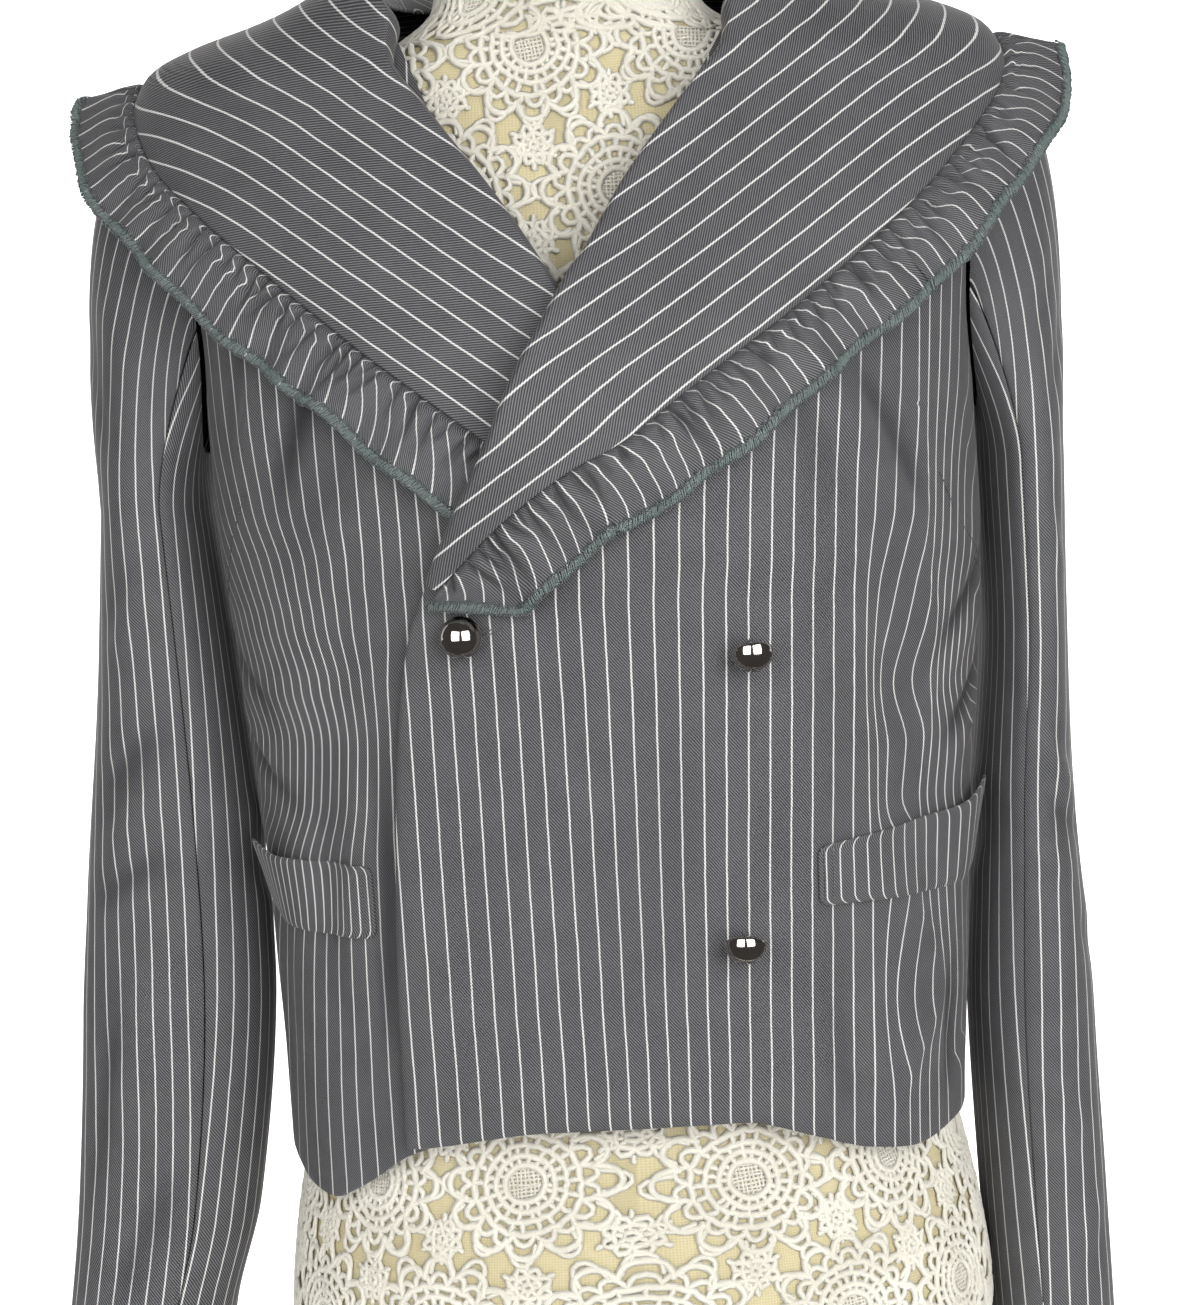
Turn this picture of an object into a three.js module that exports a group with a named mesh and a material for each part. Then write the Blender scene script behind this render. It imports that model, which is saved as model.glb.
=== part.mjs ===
// A cropped double-breasted blazer on a torso dress form, with a gathered frill round its wide shawl collar.
// Millimetres, +Z up. The form stands on its flat foot, whose middle is the origin. The front faces -Y, and
// the wearer's left is +X. An angle on the body counts from the middle of the front: 90 is the wearer's left
// side, 180 the middle of the back and -90 the wearer's right side.
import * as THREE from "three";

// ---- driving sizes ----
const CLOTH = 1.4; // one thickness of suiting with its fusing
const COLLAR_CLOTH = 2.0; // upper and under collar together
const FRILL_CLOTH = 1.2;
const SEAM_GAP = 0.08; // degrees from a body seam to the panel on each side of it
const UNDERARM = 508; // height of the bottom of the armhole
const SHOULDER_TIP = 668; // height of the top of the armhole
const NECK_POINT = 708; // height where the shoulder seam meets the neck
const COLLAR_LIFT = 3.8; // from the panels up to the under face of the collar
const FRILL_WIDTH = 31;
const FRILL_SEAM_GAP = 3.2; // the collar's turned edge hides it
const FRILL_GATHERS = 40; // waves on each half of the frill
const FRILL_WAVE = 1.3;
const FRILL_RISE = 0.85; // how strongly the frill stands off the heads of the sleeves
const FRILL_SINK = 0.4; // from the under face of the collar down to that of the frill
const CUFF = 40; // height of the cuffs
const SQUARENESS = 0.85; // power of a body ring: 1 is an ellipse, less is squarer
const SLEEVE_SQUARENESS = 0.82;
const BUTTON_RADIUS = 9.4;
const BUTTON_DOME = 9.2;
const BUTTON_RIM = 1.6; // height of the rim under the dome
const BUTTON_BACK_RADIUS = 8.2;
const BUTTON_SHANK = 3.2;
const BUTTON_SHANK_RADIUS = 1.8;
const BUTTON_CLEARANCE = 0.6; // from the thread shank to the cloth
const BUTTON_TIP_ARM = 7.4; // a tipped button stands off the cloth by this times the sine of its droop
const RADIANS = Math.PI / 180;

// Rings of the dress form: half width, depth to the front and depth to the back at each height.
const FORM_RINGS = [
  { z: 0, half: 158, front: 104, back: 108 },
  { z: 40, half: 169, front: 110, back: 118 },
  { z: 80, half: 171, front: 110, back: 119 },
  { z: 120, half: 167, front: 108, back: 115 },
  { z: 165, half: 158, front: 105, back: 106 },
  { z: 205, half: 149, front: 100, back: 97 },
  { z: 260, half: 134, front: 91, back: 85 },
  { z: 325, half: 120, front: 82, back: 76 },
  { z: 385, half: 130, front: 89, back: 82 },
  { z: 425, half: 141, front: 96, back: 90 },
  { z: 465, half: 150, front: 103, back: 97 },
  { z: 505, half: 155, front: 104, back: 101 },
  { z: 545, half: 157, front: 97, back: 102 },
  { z: 585, half: 162, front: 86, back: 99 },
  { z: 615, half: 168, front: 75, back: 93 },
  { z: 640, half: 172, front: 65, back: 85 },
  { z: 655, half: 171, front: 58, back: 78 },
  { z: 665, half: 152, front: 53, back: 72 },
  { z: 677, half: 114, front: 49, back: 65 },
  { z: 690, half: 78, front: 47, back: 58 },
  { z: 705, half: 61, front: 46, back: 53 },
  { z: 735, half: 55, front: 45, back: 49 },
  { z: 780, half: 54, front: 44, back: 48 },
];
const BUST = { z: 498, x: 78, width: 44, height: 52, depth: 14 };

// Rings of the blazer's outer face.
const BLAZER_RINGS = [
  { z: 160, half: 167, front: 118, back: 117 },
  { z: 215, half: 167, front: 118, back: 112 },
  { z: 260, half: 168, front: 118, back: 108 },
  { z: 300, half: 168.5, front: 118, back: 106 },
  { z: 345, half: 170, front: 120, back: 105 },
  { z: 385, half: 173, front: 122, back: 106 },
  { z: 425, half: 177, front: 125, back: 108 },
  { z: 465, half: 180, front: 129, back: 111 },
  { z: 505, half: 181, front: 130, back: 113 },
  { z: 545, half: 182, front: 122, back: 113 },
  { z: 585, half: 186, front: 109, back: 110 },
  { z: 615, half: 190, front: 96, back: 105 },
  { z: 640, half: 192, front: 83, back: 98 },
  { z: 658, half: 190, front: 73, back: 91 },
  { z: 668, half: 186, front: 68, back: 86 },
  { z: 677, half: 168, front: 63, back: 80 },
  { z: 687, half: 140, front: 59, back: 74 },
  { z: 698, half: 108, front: 56, back: 67 },
  { z: 708, half: 82, front: 54, back: 62 },
  { z: 717, half: 75, front: 54, back: 59 },
  { z: 740, half: 73, front: 54, back: 58 },
];

// Height of the hem round the body. The right front hangs lower near the opening than the left front over it.
const LEFT_HEM = [
  { angle: -60, z: 189 },
  { angle: -33, z: 189 },
  { angle: -9, z: 196 },
  { angle: 13, z: 195 },
  { angle: 26, z: 184 },
  { angle: 37, z: 174 },
  { angle: 50, z: 170 },
  { angle: 66, z: 173 },
  { angle: 90, z: 171 },
];
const RIGHT_HEM = [
  { angle: -90, z: 169 },
  { angle: -72, z: 163 },
  { angle: -55, z: 159 },
  { angle: -45, z: 168 },
  { angle: -34, z: 184 },
  { angle: -18, z: 196 },
  { angle: 40, z: 200 },
];
const BACK_HEM = [
  { angle: 90, z: 171 },
  { angle: 120, z: 175 },
  { angle: 180, z: 170 },
  { angle: 240, z: 176 },
  { angle: 270, z: 169 },
];

// Where each front ends towards the other, as a distance from the middle line, seen from its own side.
const LEFT_FRONT_EDGE = [
  { z: 160, x: -101 },
  { z: 260, x: -99 },
  { z: 330, x: -95 },
  { z: 387, x: -89 },
  { z: 422, x: -82 },
  { z: 444, x: -73 },
  { z: 497, x: -44 },
  { z: 562, x: -8 },
  { z: 628, x: 36 },
  { z: 700, x: 80 },
];
const RIGHT_FRONT_EDGE = [
  { z: 160, x: -78 },
  { z: 400, x: -76 },
  { z: 444, x: -62 },
  { z: 500, x: -28 },
  { z: 564, x: 10 },
  { z: 624, x: 50 },
  { z: 700, x: 82 },
];

// The two halves of the collar, each seen from its own side. On the front each row has a point of the roll
// line and a point of the outer seam. Over the shoulder and across the back the rows hold angles and heights.
// stand is how far the collar stands up at its roll line.
const COLLAR_OVER_SHOULDER = [
  { rollAngle: 90, rollZ: 708, seamAngle: 90, seamZ: 668, stand: 22 },
  { rollAngle: 122, rollZ: 710, seamAngle: 118, seamZ: 632, stand: 25 },
  { rollAngle: 150, rollZ: 712, seamAngle: 147, seamZ: 594, stand: 26 },
  { rollAngle: 179.8, rollZ: 713, seamAngle: 179.8, seamZ: 580, stand: 26 },
];
const LEFT_COLLAR_FRONT = [
  { rollX: -72, rollZ: 446, seamX: -68, seamZ: 444, stand: 0 },
  { rollX: -45, rollZ: 497, seamX: -30, seamZ: 478, stand: 0 },
  { rollX: -14, rollZ: 553, seamX: 46, seamZ: 523, stand: 0 },
  { rollX: 29, rollZ: 621, seamX: 138, seamZ: 592, stand: 1 },
  { rollX: 72, rollZ: 690, seamX: 180, seamZ: 641, stand: 9 },
];
const RIGHT_COLLAR_FRONT = [
  { rollX: -3, rollZ: 543, seamX: 31, seamZ: 494, stand: 0 },
  { rollX: 6, rollZ: 557, seamX: 49, seamZ: 508, stand: 0 },
  { rollX: 46, rollZ: 622, seamX: 124, seamZ: 571, stand: 1 },
  { rollX: 76, rollZ: 690, seamX: 173, seamZ: 624, stand: 9 },
];

// Soft folds of the body panels. Each is at an angle at its middle height, and moves by lean degrees for each
// 100 mm upwards. It fades over reach up and down, and over width to its sides.
const BODY_FOLDS = [
  { angle: 92, z: 385, lean: 0, reach: 105, width: 25, depth: 7 },
  { angle: 88, z: 172, lean: 0, reach: 40, width: 18, depth: -4 },
  { angle: 52, z: 380, lean: -5, reach: 110, width: 9, depth: -3.2 },
  { angle: 66, z: 290, lean: 4, reach: 90, width: 7, depth: 2.4 },
  { angle: 30, z: 255, lean: 2, reach: 70, width: 10, depth: -2.0 },
  { angle: 46, z: 205, lean: 0, reach: 60, width: 8, depth: 3.6 },
  { angle: -44, z: 340, lean: 6, reach: 120, width: 8, depth: -4.0 },
  { angle: -54, z: 225, lean: 0, reach: 80, width: 9, depth: 4.5 },
  { angle: -72, z: 260, lean: 3, reach: 110, width: 7, depth: -2.5 },
  { angle: -56, z: 560, lean: 12, reach: 60, width: 9, depth: 3.0 },
  { angle: 60, z: 560, lean: -10, reach: 60, width: 9, depth: 2.6 },
  { angle: 125, z: 370, lean: 4, reach: 130, width: 9, depth: -3.0 },
  { angle: 152, z: 300, lean: -3, reach: 110, width: 9, depth: 3.0 },
  { angle: 205, z: 340, lean: 3, reach: 120, width: 10, depth: -2.6 },
  { angle: 236, z: 360, lean: -4, reach: 130, width: 9, depth: 2.6 },
];

// Centre and half sizes of each sleeve below the armhole, seen from its own side. The left one hangs against
// the side of the body, which flattens it. The right one hangs clear and is flat towards the front.
const LEFT_SLEEVE = [
  { z: 40, x: 204.5, y: 2, half: 29.5, depth: 44 },
  { z: 130, x: 202, y: 4, half: 30, depth: 47 },
  { z: 209, x: 200.5, y: 6, half: 29.5, depth: 50 },
  { z: 310, x: 201, y: 8, half: 23, depth: 56 },
  { z: 409, x: 205, y: 10, half: 18.2, depth: 60 },
  { z: 480, x: 205.8, y: 12, half: 19.5, depth: 60 },
];
const RIGHT_SLEEVE = [
  { z: 40, x: 250, y: -4, half: 41, depth: 34 },
  { z: 81, x: 244, y: -3, half: 41, depth: 35 },
  { z: 137, x: 231.5, y: -1, half: 45, depth: 34 },
  { z: 235, x: 219.5, y: 2, half: 47, depth: 37 },
  { z: 293, x: 216, y: 5, half: 44, depth: 41 },
  { z: 409, x: 212, y: 9, half: 32.5, depth: 53 },
  { z: 480, x: 211.5, y: 12, half: 25.5, depth: 59 },
];
const TOP_SLEEVE_TURN = 107.5; // degrees from the shoulder to the front and back seams of a sleeve

// Pocket welts: their ends as angles on their own side, and the heights of their long edges at the front and
// side ends. The upper edge gapes towards the side end.
const LEFT_WELT = { from: 28, to: 78, topFront: 317, topSide: 326, lowFront: 289, lowSide: 284, gape: 4 };
const RIGHT_WELT = { from: 37.5, to: 75, topFront: 318, topSide: 320, lowFront: 284, lowSide: 287, gape: 6 };

// Each button's place on the left front, seen from its own side, and how far it tips down on its thread.
const BUTTONS = [
  { name: "fastened_button", x: -60, z: 423, droop: 8 },
  { name: "upper_button", x: 61, z: 411, droop: 64 },
  { name: "lower_button", x: 52, z: 281, droop: 64 },
];

// ---- curves and surfaces ----

// A smooth curve through two named columns of the rows. It never overshoots them.
function curveThrough(rows, across, up) {
  const x = rows.map((row) => row[across]);
  const y = rows.map((row) => row[up]);
  const last = x.length - 1;
  const slope = x.slice(1).map((_, i) => (y[i + 1] - y[i]) / (x[i + 1] - x[i]));
  const tangent = y.map((_, i) => {
    if (i === 0) return slope[0];
    if (i === last) return slope[last - 1];
    const product = slope[i - 1] * slope[i];
    return product <= 0 ? 0 : (2 * product) / (slope[i - 1] + slope[i]);
  });
  return (at) => {
    if (at <= x[0]) return y[0] + (at - x[0]) * tangent[0];
    if (at >= x[last]) return y[last] + (at - x[last]) * tangent[last];
    const i = x.findIndex((_, k) => at < x[k + 1]);
    const width = x[i + 1] - x[i];
    return hermite((at - x[i]) / width, y[i], width * tangent[i], y[i + 1], width * tangent[i + 1]);
  };
}

// A cubic from one value to another, leaving and arriving at the given rates.
function hermite(t, from, leaving, to, arriving) {
  const back = 1 - t;
  const start = (1 + 2 * t) * back * back * from + t * back * back * leaving;
  return start + t * t * (3 - 2 * t) * to - t * t * back * arriving;
}

const mix = (a, b, t) => a + (b - a) * t;
const smoothStep = (t) => {
  const k = Math.min(1, Math.max(0, t));
  return k * k * (3 - 2 * k);
};
const bell = (distance) => Math.exp(-distance * distance);
const signedPower = (value, power) => Math.sign(value) * Math.abs(value) ** power;
const evenly = (from, to, steps) => Array.from({ length: steps + 1 }, (_, i) => mix(from, to, i / steps));

// A stack of rings as a surface, with a swell that may stand off it.
class RingSurface {
  constructor(rings, swell) {
    this.half = curveThrough(rings, "z", "half");
    this.front = curveThrough(rings, "z", "front");
    this.back = curveThrough(rings, "z", "back");
    this.swell = swell;
  }
  bare(angle, z) {
    const s = Math.sin(angle * RADIANS);
    const c = Math.cos(angle * RADIANS);
    const depth = c > 0 ? this.front(z) : this.back(z);
    const x = this.half(z) * signedPower(s, SQUARENESS);
    return new THREE.Vector3(x, -depth * signedPower(c, SQUARENESS), z);
  }
  normal(angle, z) {
    const round = this.bare(angle + 1.5, z).sub(this.bare(angle - 1.5, z));
    const up = this.bare(angle, z + 2).sub(this.bare(angle, z - 2));
    return round.cross(up).normalize();
  }
  point(angle, z, lift = 0) {
    return this.bare(angle, z).addScaledVector(this.normal(angle, z), this.swell(angle, z) + lift);
  }
  // The angle of the point on the front that lies x from the middle line.
  angleAt(x, z) {
    const share = Math.min(1, Math.abs(x) / this.half(z)) ** (1 / SQUARENESS);
    return (Math.sign(x) * Math.asin(share)) / RADIANS;
  }
}

const formSwell = (angle, z) => {
  if (Math.cos(angle * RADIANS) < 0) return 0;
  const x = 160 * Math.abs(Math.sin(angle * RADIANS)) ** SQUARENESS;
  return BUST.depth * bell((x - BUST.x) / BUST.width) * bell((z - BUST.z) / BUST.height);
};
const blazerFolds = (angle, z) =>
  BODY_FOLDS.reduce((sum, fold) => {
    const away = angle - fold.angle - (fold.lean * (z - fold.z)) / 100;
    const nearest = away - 360 * Math.round(away / 360);
    return sum + fold.depth * bell(nearest / fold.width) * bell((z - fold.z) / fold.reach);
  }, 0);
const form = new RingSurface(FORM_RINGS, formSwell);
const blazer = new RingSurface(BLAZER_RINGS, blazerFolds);

// How far the left front stands off the body where the right front and the right collar lie under it.
const OVER_FRONT = { height: 2.9, x: 108, z: 600 }; // it fades out at x towards the side and at z upwards
const OVER_COLLAR = { height: 14.2, x: -25, z: 519, width: 62, reach: 74 };

function overlapLift(angle, z) {
  const x = blazer.bare(angle, z).x;
  const fade = smoothStep((OVER_FRONT.x - x) / 24) * smoothStep((OVER_FRONT.z - z) / 60);
  const across = bell((x - OVER_COLLAR.x) / OVER_COLLAR.width);
  const overCollar = OVER_COLLAR.height * across * bell((z - OVER_COLLAR.z) / OVER_COLLAR.reach);
  return OVER_FRONT.height * fade + overCollar;
}
const noLift = () => 0;

function closedGeometry(points, index) {
  const geometry = new THREE.BufferGeometry();
  const numbers = points.flatMap((p) => [p.x, p.y, p.z]);
  geometry.setAttribute("position", new THREE.Float32BufferAttribute(numbers, 3));
  geometry.setIndex(index);
  geometry.computeVertexNormals();
  return geometry;
}

// A closed wall of cloth. pointAt(row, column) gives its outer face, and the thickness lies inside it. Seen
// from outside, rows run up and columns to the right, or to the left where turned is true. Where that is the
// other way round, pointAt gives the under face and the thickness lies outside it.
const ROW_STEP = 0.004; // steps that give the direction of the cloth
const COLUMN_STEP = 0.02;

function wall(pointAt, rows, columns, thickness, turned) {
  const rowStep = ROW_STEP;
  const columnStep = COLUMN_STEP * (columns.at(-1) - columns[0]);
  const inwards = (row, column) => {
    const here = pointAt(row, column);
    const before = here.clone().sub(pointAt(row, column - columnStep)).normalize();
    const across = pointAt(row, column + columnStep).sub(here).normalize().add(before);
    const up = pointAt(row + rowStep, column).sub(pointAt(row - rowStep, column));
    return across.cross(up).setLength(turned ? thickness : -thickness);
  };
  const outside = rows.flatMap((row) => columns.map((column) => pointAt(row, column)));
  const offsets = rows.flatMap((row) => columns.map((column) => inwards(row, column)));
  const points = [...outside, ...outside.map((p, i) => p.clone().add(offsets[i]))];
  const across = columns.length;
  const inner = outside.length;
  const lastRow = (rows.length - 1) * across;
  const index = [];
  const quad = (a, b, c, d) => index.push(...(turned ? [a, c, b, a, d, c] : [a, b, c, a, c, d]));
  // Both faces are split along the same diagonal, so that a twisted stretch keeps its thickness.
  for (let row = 0; row < lastRow; row += across) {
    for (let a = row; a < row + across - 1; a++) {
      quad(a, a + 1, a + 1 + across, a + across);
      quad(inner + a, inner + a + across, inner + a + 1 + across, inner + a + 1);
    }
  }
  for (let c = 0; c < across - 1; c++) {
    quad(c, inner + c, inner + c + 1, c + 1);
    quad(lastRow + c, lastRow + c + 1, lastRow + inner + c + 1, lastRow + inner + c);
  }
  for (let first = 0; first < lastRow; first += across) {
    const last = first + across - 1;
    quad(first, first + across, inner + first + across, inner + first);
    quad(last, inner + last, inner + last + across, last + across);
  }
  return closedGeometry(points, index);
}

// ---- dress form ----
const FORM_LEVELS = [0, 8, 30, 60, 90, 120, 150, 180, 215, 250, 290, 325, 360, 395, 420, 445, 470, 495];
FORM_LEVELS.push(520, 545, 570, 592, 612, 630, 645, 655, 662, 670, 679, 690, 703, 720, 745, 772, 780);
const FORM_COLUMNS = 36;
const RIM_ROUNDING = 6; // inset of the foot's edge and the neck's edge

function dressForm() {
  const top = FORM_LEVELS.length - 1;
  const points = FORM_LEVELS.flatMap((z, r) =>
    Array.from({ length: FORM_COLUMNS }, (_, i) => {
      const inset = r === 0 || r === top ? RIM_ROUNDING : 0;
      return form.point((i * 360) / FORM_COLUMNS, z, -inset).setZ(z);
    }),
  );
  const foot = points.push(new THREE.Vector3(0, 0, 0)) - 1;
  const neck = points.push(new THREE.Vector3(0, 0, FORM_LEVELS[top])) - 1;
  const index = [];
  for (let i = 0; i < FORM_COLUMNS; i++) {
    const next = (i + 1) % FORM_COLUMNS;
    for (let r = 0; r < top; r++) {
      const low = r * FORM_COLUMNS;
      const high = low + FORM_COLUMNS;
      index.push(low + i, low + next, high + next, low + i, high + next, high + i);
    }
    index.push(foot, next, i, neck, top * FORM_COLUMNS + i, top * FORM_COLUMNS + next);
  }
  return closedGeometry(points, index);
}

// ---- body panels ----
const LOWEST_HEM = 159;
const BODY_LEVELS = [0, 0.09, 0.18, 0.27, 0.36, 0.44, 0.52, 0.59, 0.637, 0.68, 0.73, 0.78, 0.83, 0.88];
BODY_LEVELS.push(0.915, 0.928, 0.95, 0.97, 0.99);
const FRONT_ARMHOLE = 17; // degrees that the armhole reaches forwards of the side
const BACK_ARMHOLE = 30;
const ARMHOLE_ROUNDNESS = 2.2; // power of the armhole's curve: 2 is an ellipse, more is squarer

// How far the armhole cuts into a panel at a height, in degrees from the side.
function armholeCut(z, reach) {
  const half = (SHOULDER_TIP - UNDERARM) / 2;
  const away = Math.abs(z - UNDERARM - half) / half;
  return away >= 1 ? 0 : reach * (1 - away ** ARMHOLE_ROUNDNESS) ** (1 / ARMHOLE_ROUNDNESS);
}

// A point of a body panel: level 0 to 1 runs from the hem to the neck point, and share from its first edge to
// its last one.
function bodyPoint(level, share, firstAngle, lastAngle, hem, lift) {
  const evenZ = mix(LOWEST_HEM, NECK_POINT, level);
  const angle = mix(firstAngle(evenZ), lastAngle(evenZ), share);
  const z = evenZ + (hem(angle) - LOWEST_HEM) * (1 - level) ** 3;
  return blazer.point(angle, z, lift(angle, z));
}

// A front, from its edge to the side seam. side is 1 for the left one and -1 for the right one.
function frontPanel(edgeRows, hemRows, side, lift) {
  const edge = curveThrough(edgeRows, "z", "x");
  const hem = curveThrough(hemRows, "angle", "z");
  const last = (z) => 90 - SEAM_GAP - armholeCut(z, FRONT_ARMHOLE);
  const first = (z) => Math.min(blazer.angleAt(edge(z), z), last(z) - 3);
  const from = (z) => side * first(z);
  const to = (z) => side * last(z);
  const pointAt = (level, share) => bodyPoint(level, share, from, to, hem, lift);
  return wall(pointAt, BODY_LEVELS, evenly(0, 1, 11), CLOTH, side < 0);
}

function backPanel() {
  const hem = curveThrough(BACK_HEM, "angle", "z");
  const first = (z) => 90 + SEAM_GAP + armholeCut(z, BACK_ARMHOLE);
  const pointAt = (level, share) => bodyPoint(level, share, first, (z) => 360 - first(z), hem, noLift);
  return wall(pointAt, BODY_LEVELS, evenly(0, 1, 20), CLOTH, false);
}

// ---- sleeves ----
const CAP_END = Math.max(...LEFT_SLEEVE.map((row) => row.z));
const SLEEVE_SEAM = 0.25; // degrees from a sleeve seam to each piece
const CAP_OFFSET = 1.6; // from the armhole's seam outwards to the cap
const CAP_DROP = 2; // how far the cap starts below the seam under the arm
// How fast the cap leaves the armhole outwards and downwards, and reaches the arm downwards. Each is given
// under the arm and at the shoulder.
const CAP_LEAVES_OUT = [6, 170];
const CAP_LEAVES_DOWN = [26, 10];
const CAP_REACHES_ARM = [26, 180];
const CAP_BULGE = 8; // how far the cap bulges to the front and to the back
const SLEEVE_ROWS = [0.003, 0.12, 0.26, 0.42, 0.6, 0.8, 1, 1.16, 1.3, 1.42, 1.54, 1.66, 1.78, 1.9, 2];

// A point of the armhole's seam: turn 0 is at the shoulder, 90 at the front and 180 under the arm.
function armholePoint(turn) {
  const middle = (SHOULDER_TIP + UNDERARM) / 2;
  const z = middle + (SHOULDER_TIP - middle) * Math.cos(turn * RADIANS);
  const toFront = Math.sin(turn * RADIANS) > 0;
  const cut = armholeCut(z, toFront ? FRONT_ARMHOLE : BACK_ARMHOLE);
  return blazer.point(toFront ? 90 - cut : 90 + cut, z);
}

// A point of a sleeve's outer face. row 0 to 1 runs down the cap from the armhole, and 1 to 2 down the arm.
function sleevePoint(columns, row, turn) {
  const c = Math.cos(turn * RADIANS);
  const s = Math.sin(turn * RADIANS);
  const armAt = (z) => {
    const [x, y, half, depth] = columns.map((column) => column(z));
    const over = half * signedPower(c, SLEEVE_SQUARENESS);
    return new THREE.Vector3(x + over, y - depth * signedPower(s, SLEEVE_SQUARENESS), z);
  };
  if (row > 1) return armAt(mix(CAP_END, CUFF, row - 1));
  const top = (1 + c) / 2;
  const start = armholePoint(turn);
  start.x += CAP_OFFSET;
  start.z -= CAP_DROP * (1 - top);
  const end = armAt(CAP_END);
  // The cap leaves the armhole outwards at the shoulder and downwards under the arm.
  const x = hermite(row, start.x, mix(...CAP_LEAVES_OUT, top ** 3), end.x, 0);
  const y = hermite(row, start.y, -CAP_BULGE * s * Math.abs(s), end.y, 0);
  const z = hermite(row, start.z, -mix(...CAP_LEAVES_DOWN, top), end.z, -mix(...CAP_REACHES_ARM, top));
  return new THREE.Vector3(x, y, z);
}

// One piece of a sleeve between two turns. Its rows run down, so it is turned where a body panel isn't.
function sleevePiece(rows, fromTurn, toTurn, steps, side) {
  const columns = ["x", "y", "half", "depth"].map((name) => curveThrough(rows, "z", name));
  const place = new THREE.Vector3(side, 1, 1);
  const pointAt = (row, turn) => sleevePoint(columns, row, turn).multiply(place);
  return wall(pointAt, SLEEVE_ROWS, evenly(fromTurn, toTurn, steps), CLOTH, side < 0);
}

// ---- collar and frill ----
const OVER_SLEEVE = 13; // how far the collar lifts to pass over the head of a sleeve
const SLEEVE_ANGLE = 92; // where the head of a sleeve is
const ROLL_FULLNESS = 2.2; // how far the collar bulges where it rolls over
const ROLL_WIDTH = 9;
const FULL_ROLL_WIDTH = 40; // a collar narrower than this bulges less
const STAND_FALL = 1.3; // power by which the stand falls away towards the outer seam
const NECK_TUCK = 2.2; // depth of the turned-in strip at the neck seam
const TUCK_TURN = 2.2; // radians that the strip turns through
const NECK_SEAM_LIFT = 0.9; // from the panel to the neck seam
const COLLAR_ROWS = 36;
const COLLAR_ACROSS = [-1, -0.45, 0, 0.07, 0.18, 0.34, 0.55, 0.78, 1];

// The roll line and the outer seam of one half of the collar, as curves of angle and height along it.
function collarLines(frontRows) {
  const onFront = frontRows.map((row) => ({
    rollAngle: blazer.angleAt(row.rollX, row.rollZ),
    rollZ: row.rollZ,
    seamAngle: blazer.angleAt(row.seamX, row.seamZ),
    seamZ: row.seamZ,
    stand: row.stand,
  }));
  const all = [...onFront, ...COLLAR_OVER_SHOULDER];
  const rows = all.map((row, i) => ({ ...row, along: i / (all.length - 1) }));
  const names = ["rollAngle", "rollZ", "seamAngle", "seamZ", "stand"];
  return Object.fromEntries(names.map((name) => [name, curveThrough(rows, "along", name)]));
}

// A point of the collar: along runs from its front end to the middle of the back, and across from the neck
// seam (-1) over the roll line (0) to the outer seam (1).
function collarPoint(lines, along, across, lift) {
  const out = Math.max(0, across);
  const rollAngle = lines.rollAngle(along);
  const rollZ = lines.rollZ(along);
  const angle = mix(rollAngle, lines.seamAngle(along), out);
  const z = mix(rollZ, lines.seamZ(along), out);
  const seam = blazer.bare(lines.seamAngle(along), lines.seamZ(along));
  const width = blazer.bare(rollAngle, rollZ).distanceTo(seam);
  // It stands up at the neck, rolls over, and lifts off again to pass over the heads of the sleeves.
  const roll = ROLL_FULLNESS * bell((out * width) / ROLL_WIDTH) * Math.min(1, width / FULL_ROLL_WIDTH);
  const stand = lines.stand(along) * Math.max(0, 1 - out) ** STAND_FALL;
  const nearSleeve = bell((angle - SLEEVE_ANGLE) / 42) * smoothStep((z - 550) / 60);
  const overSleeve = OVER_SLEEVE * nearSleeve * smoothStep((out - 0.2) / 0.7);
  const base = lift(angle, z) + COLLAR_LIFT + roll + overSleeve;
  const rise = blazer.normal(rollAngle, rollZ).multiplyScalar(stand);
  if (across >= 0) return blazer.point(angle, z, base).add(rise);
  const tucked = mix(base + stand, lift(angle, z) + NECK_SEAM_LIFT, -across);
  const tuck = blazer.point(rollAngle, rollZ, tucked);
  const inwards = blazer.bare(rollAngle, rollZ).sub(seam).normalize();
  return tuck.addScaledVector(inwards, NECK_TUCK * Math.sin(-across * TUCK_TURN));
}

function collarHalf(frontRows, side, lift) {
  const lines = collarLines(frontRows);
  const place = new THREE.Vector3(side, 1, 1);
  const pointAt = (along, across) => collarPoint(lines, along, across, lift).multiply(place);
  return wall(pointAt, evenly(0, 1, COLLAR_ROWS), COLLAR_ACROSS, COLLAR_CLOTH, side > 0);
}

const DIRECTION_STEP = 0.03; // stretch of the collar, as a share, that gives the direction along the frill
const COLLAR_EDGE = 0.94; // the collar's outermost strip, from here to 1, gives the direction outwards
const STAND_OFF = { drop: 12, upwards: 0.3, width: 34 }; // where the frill stands off the sleeves and how far
const NARROW_END = 0.2; // share of the way to its full width where the frill starts

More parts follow.
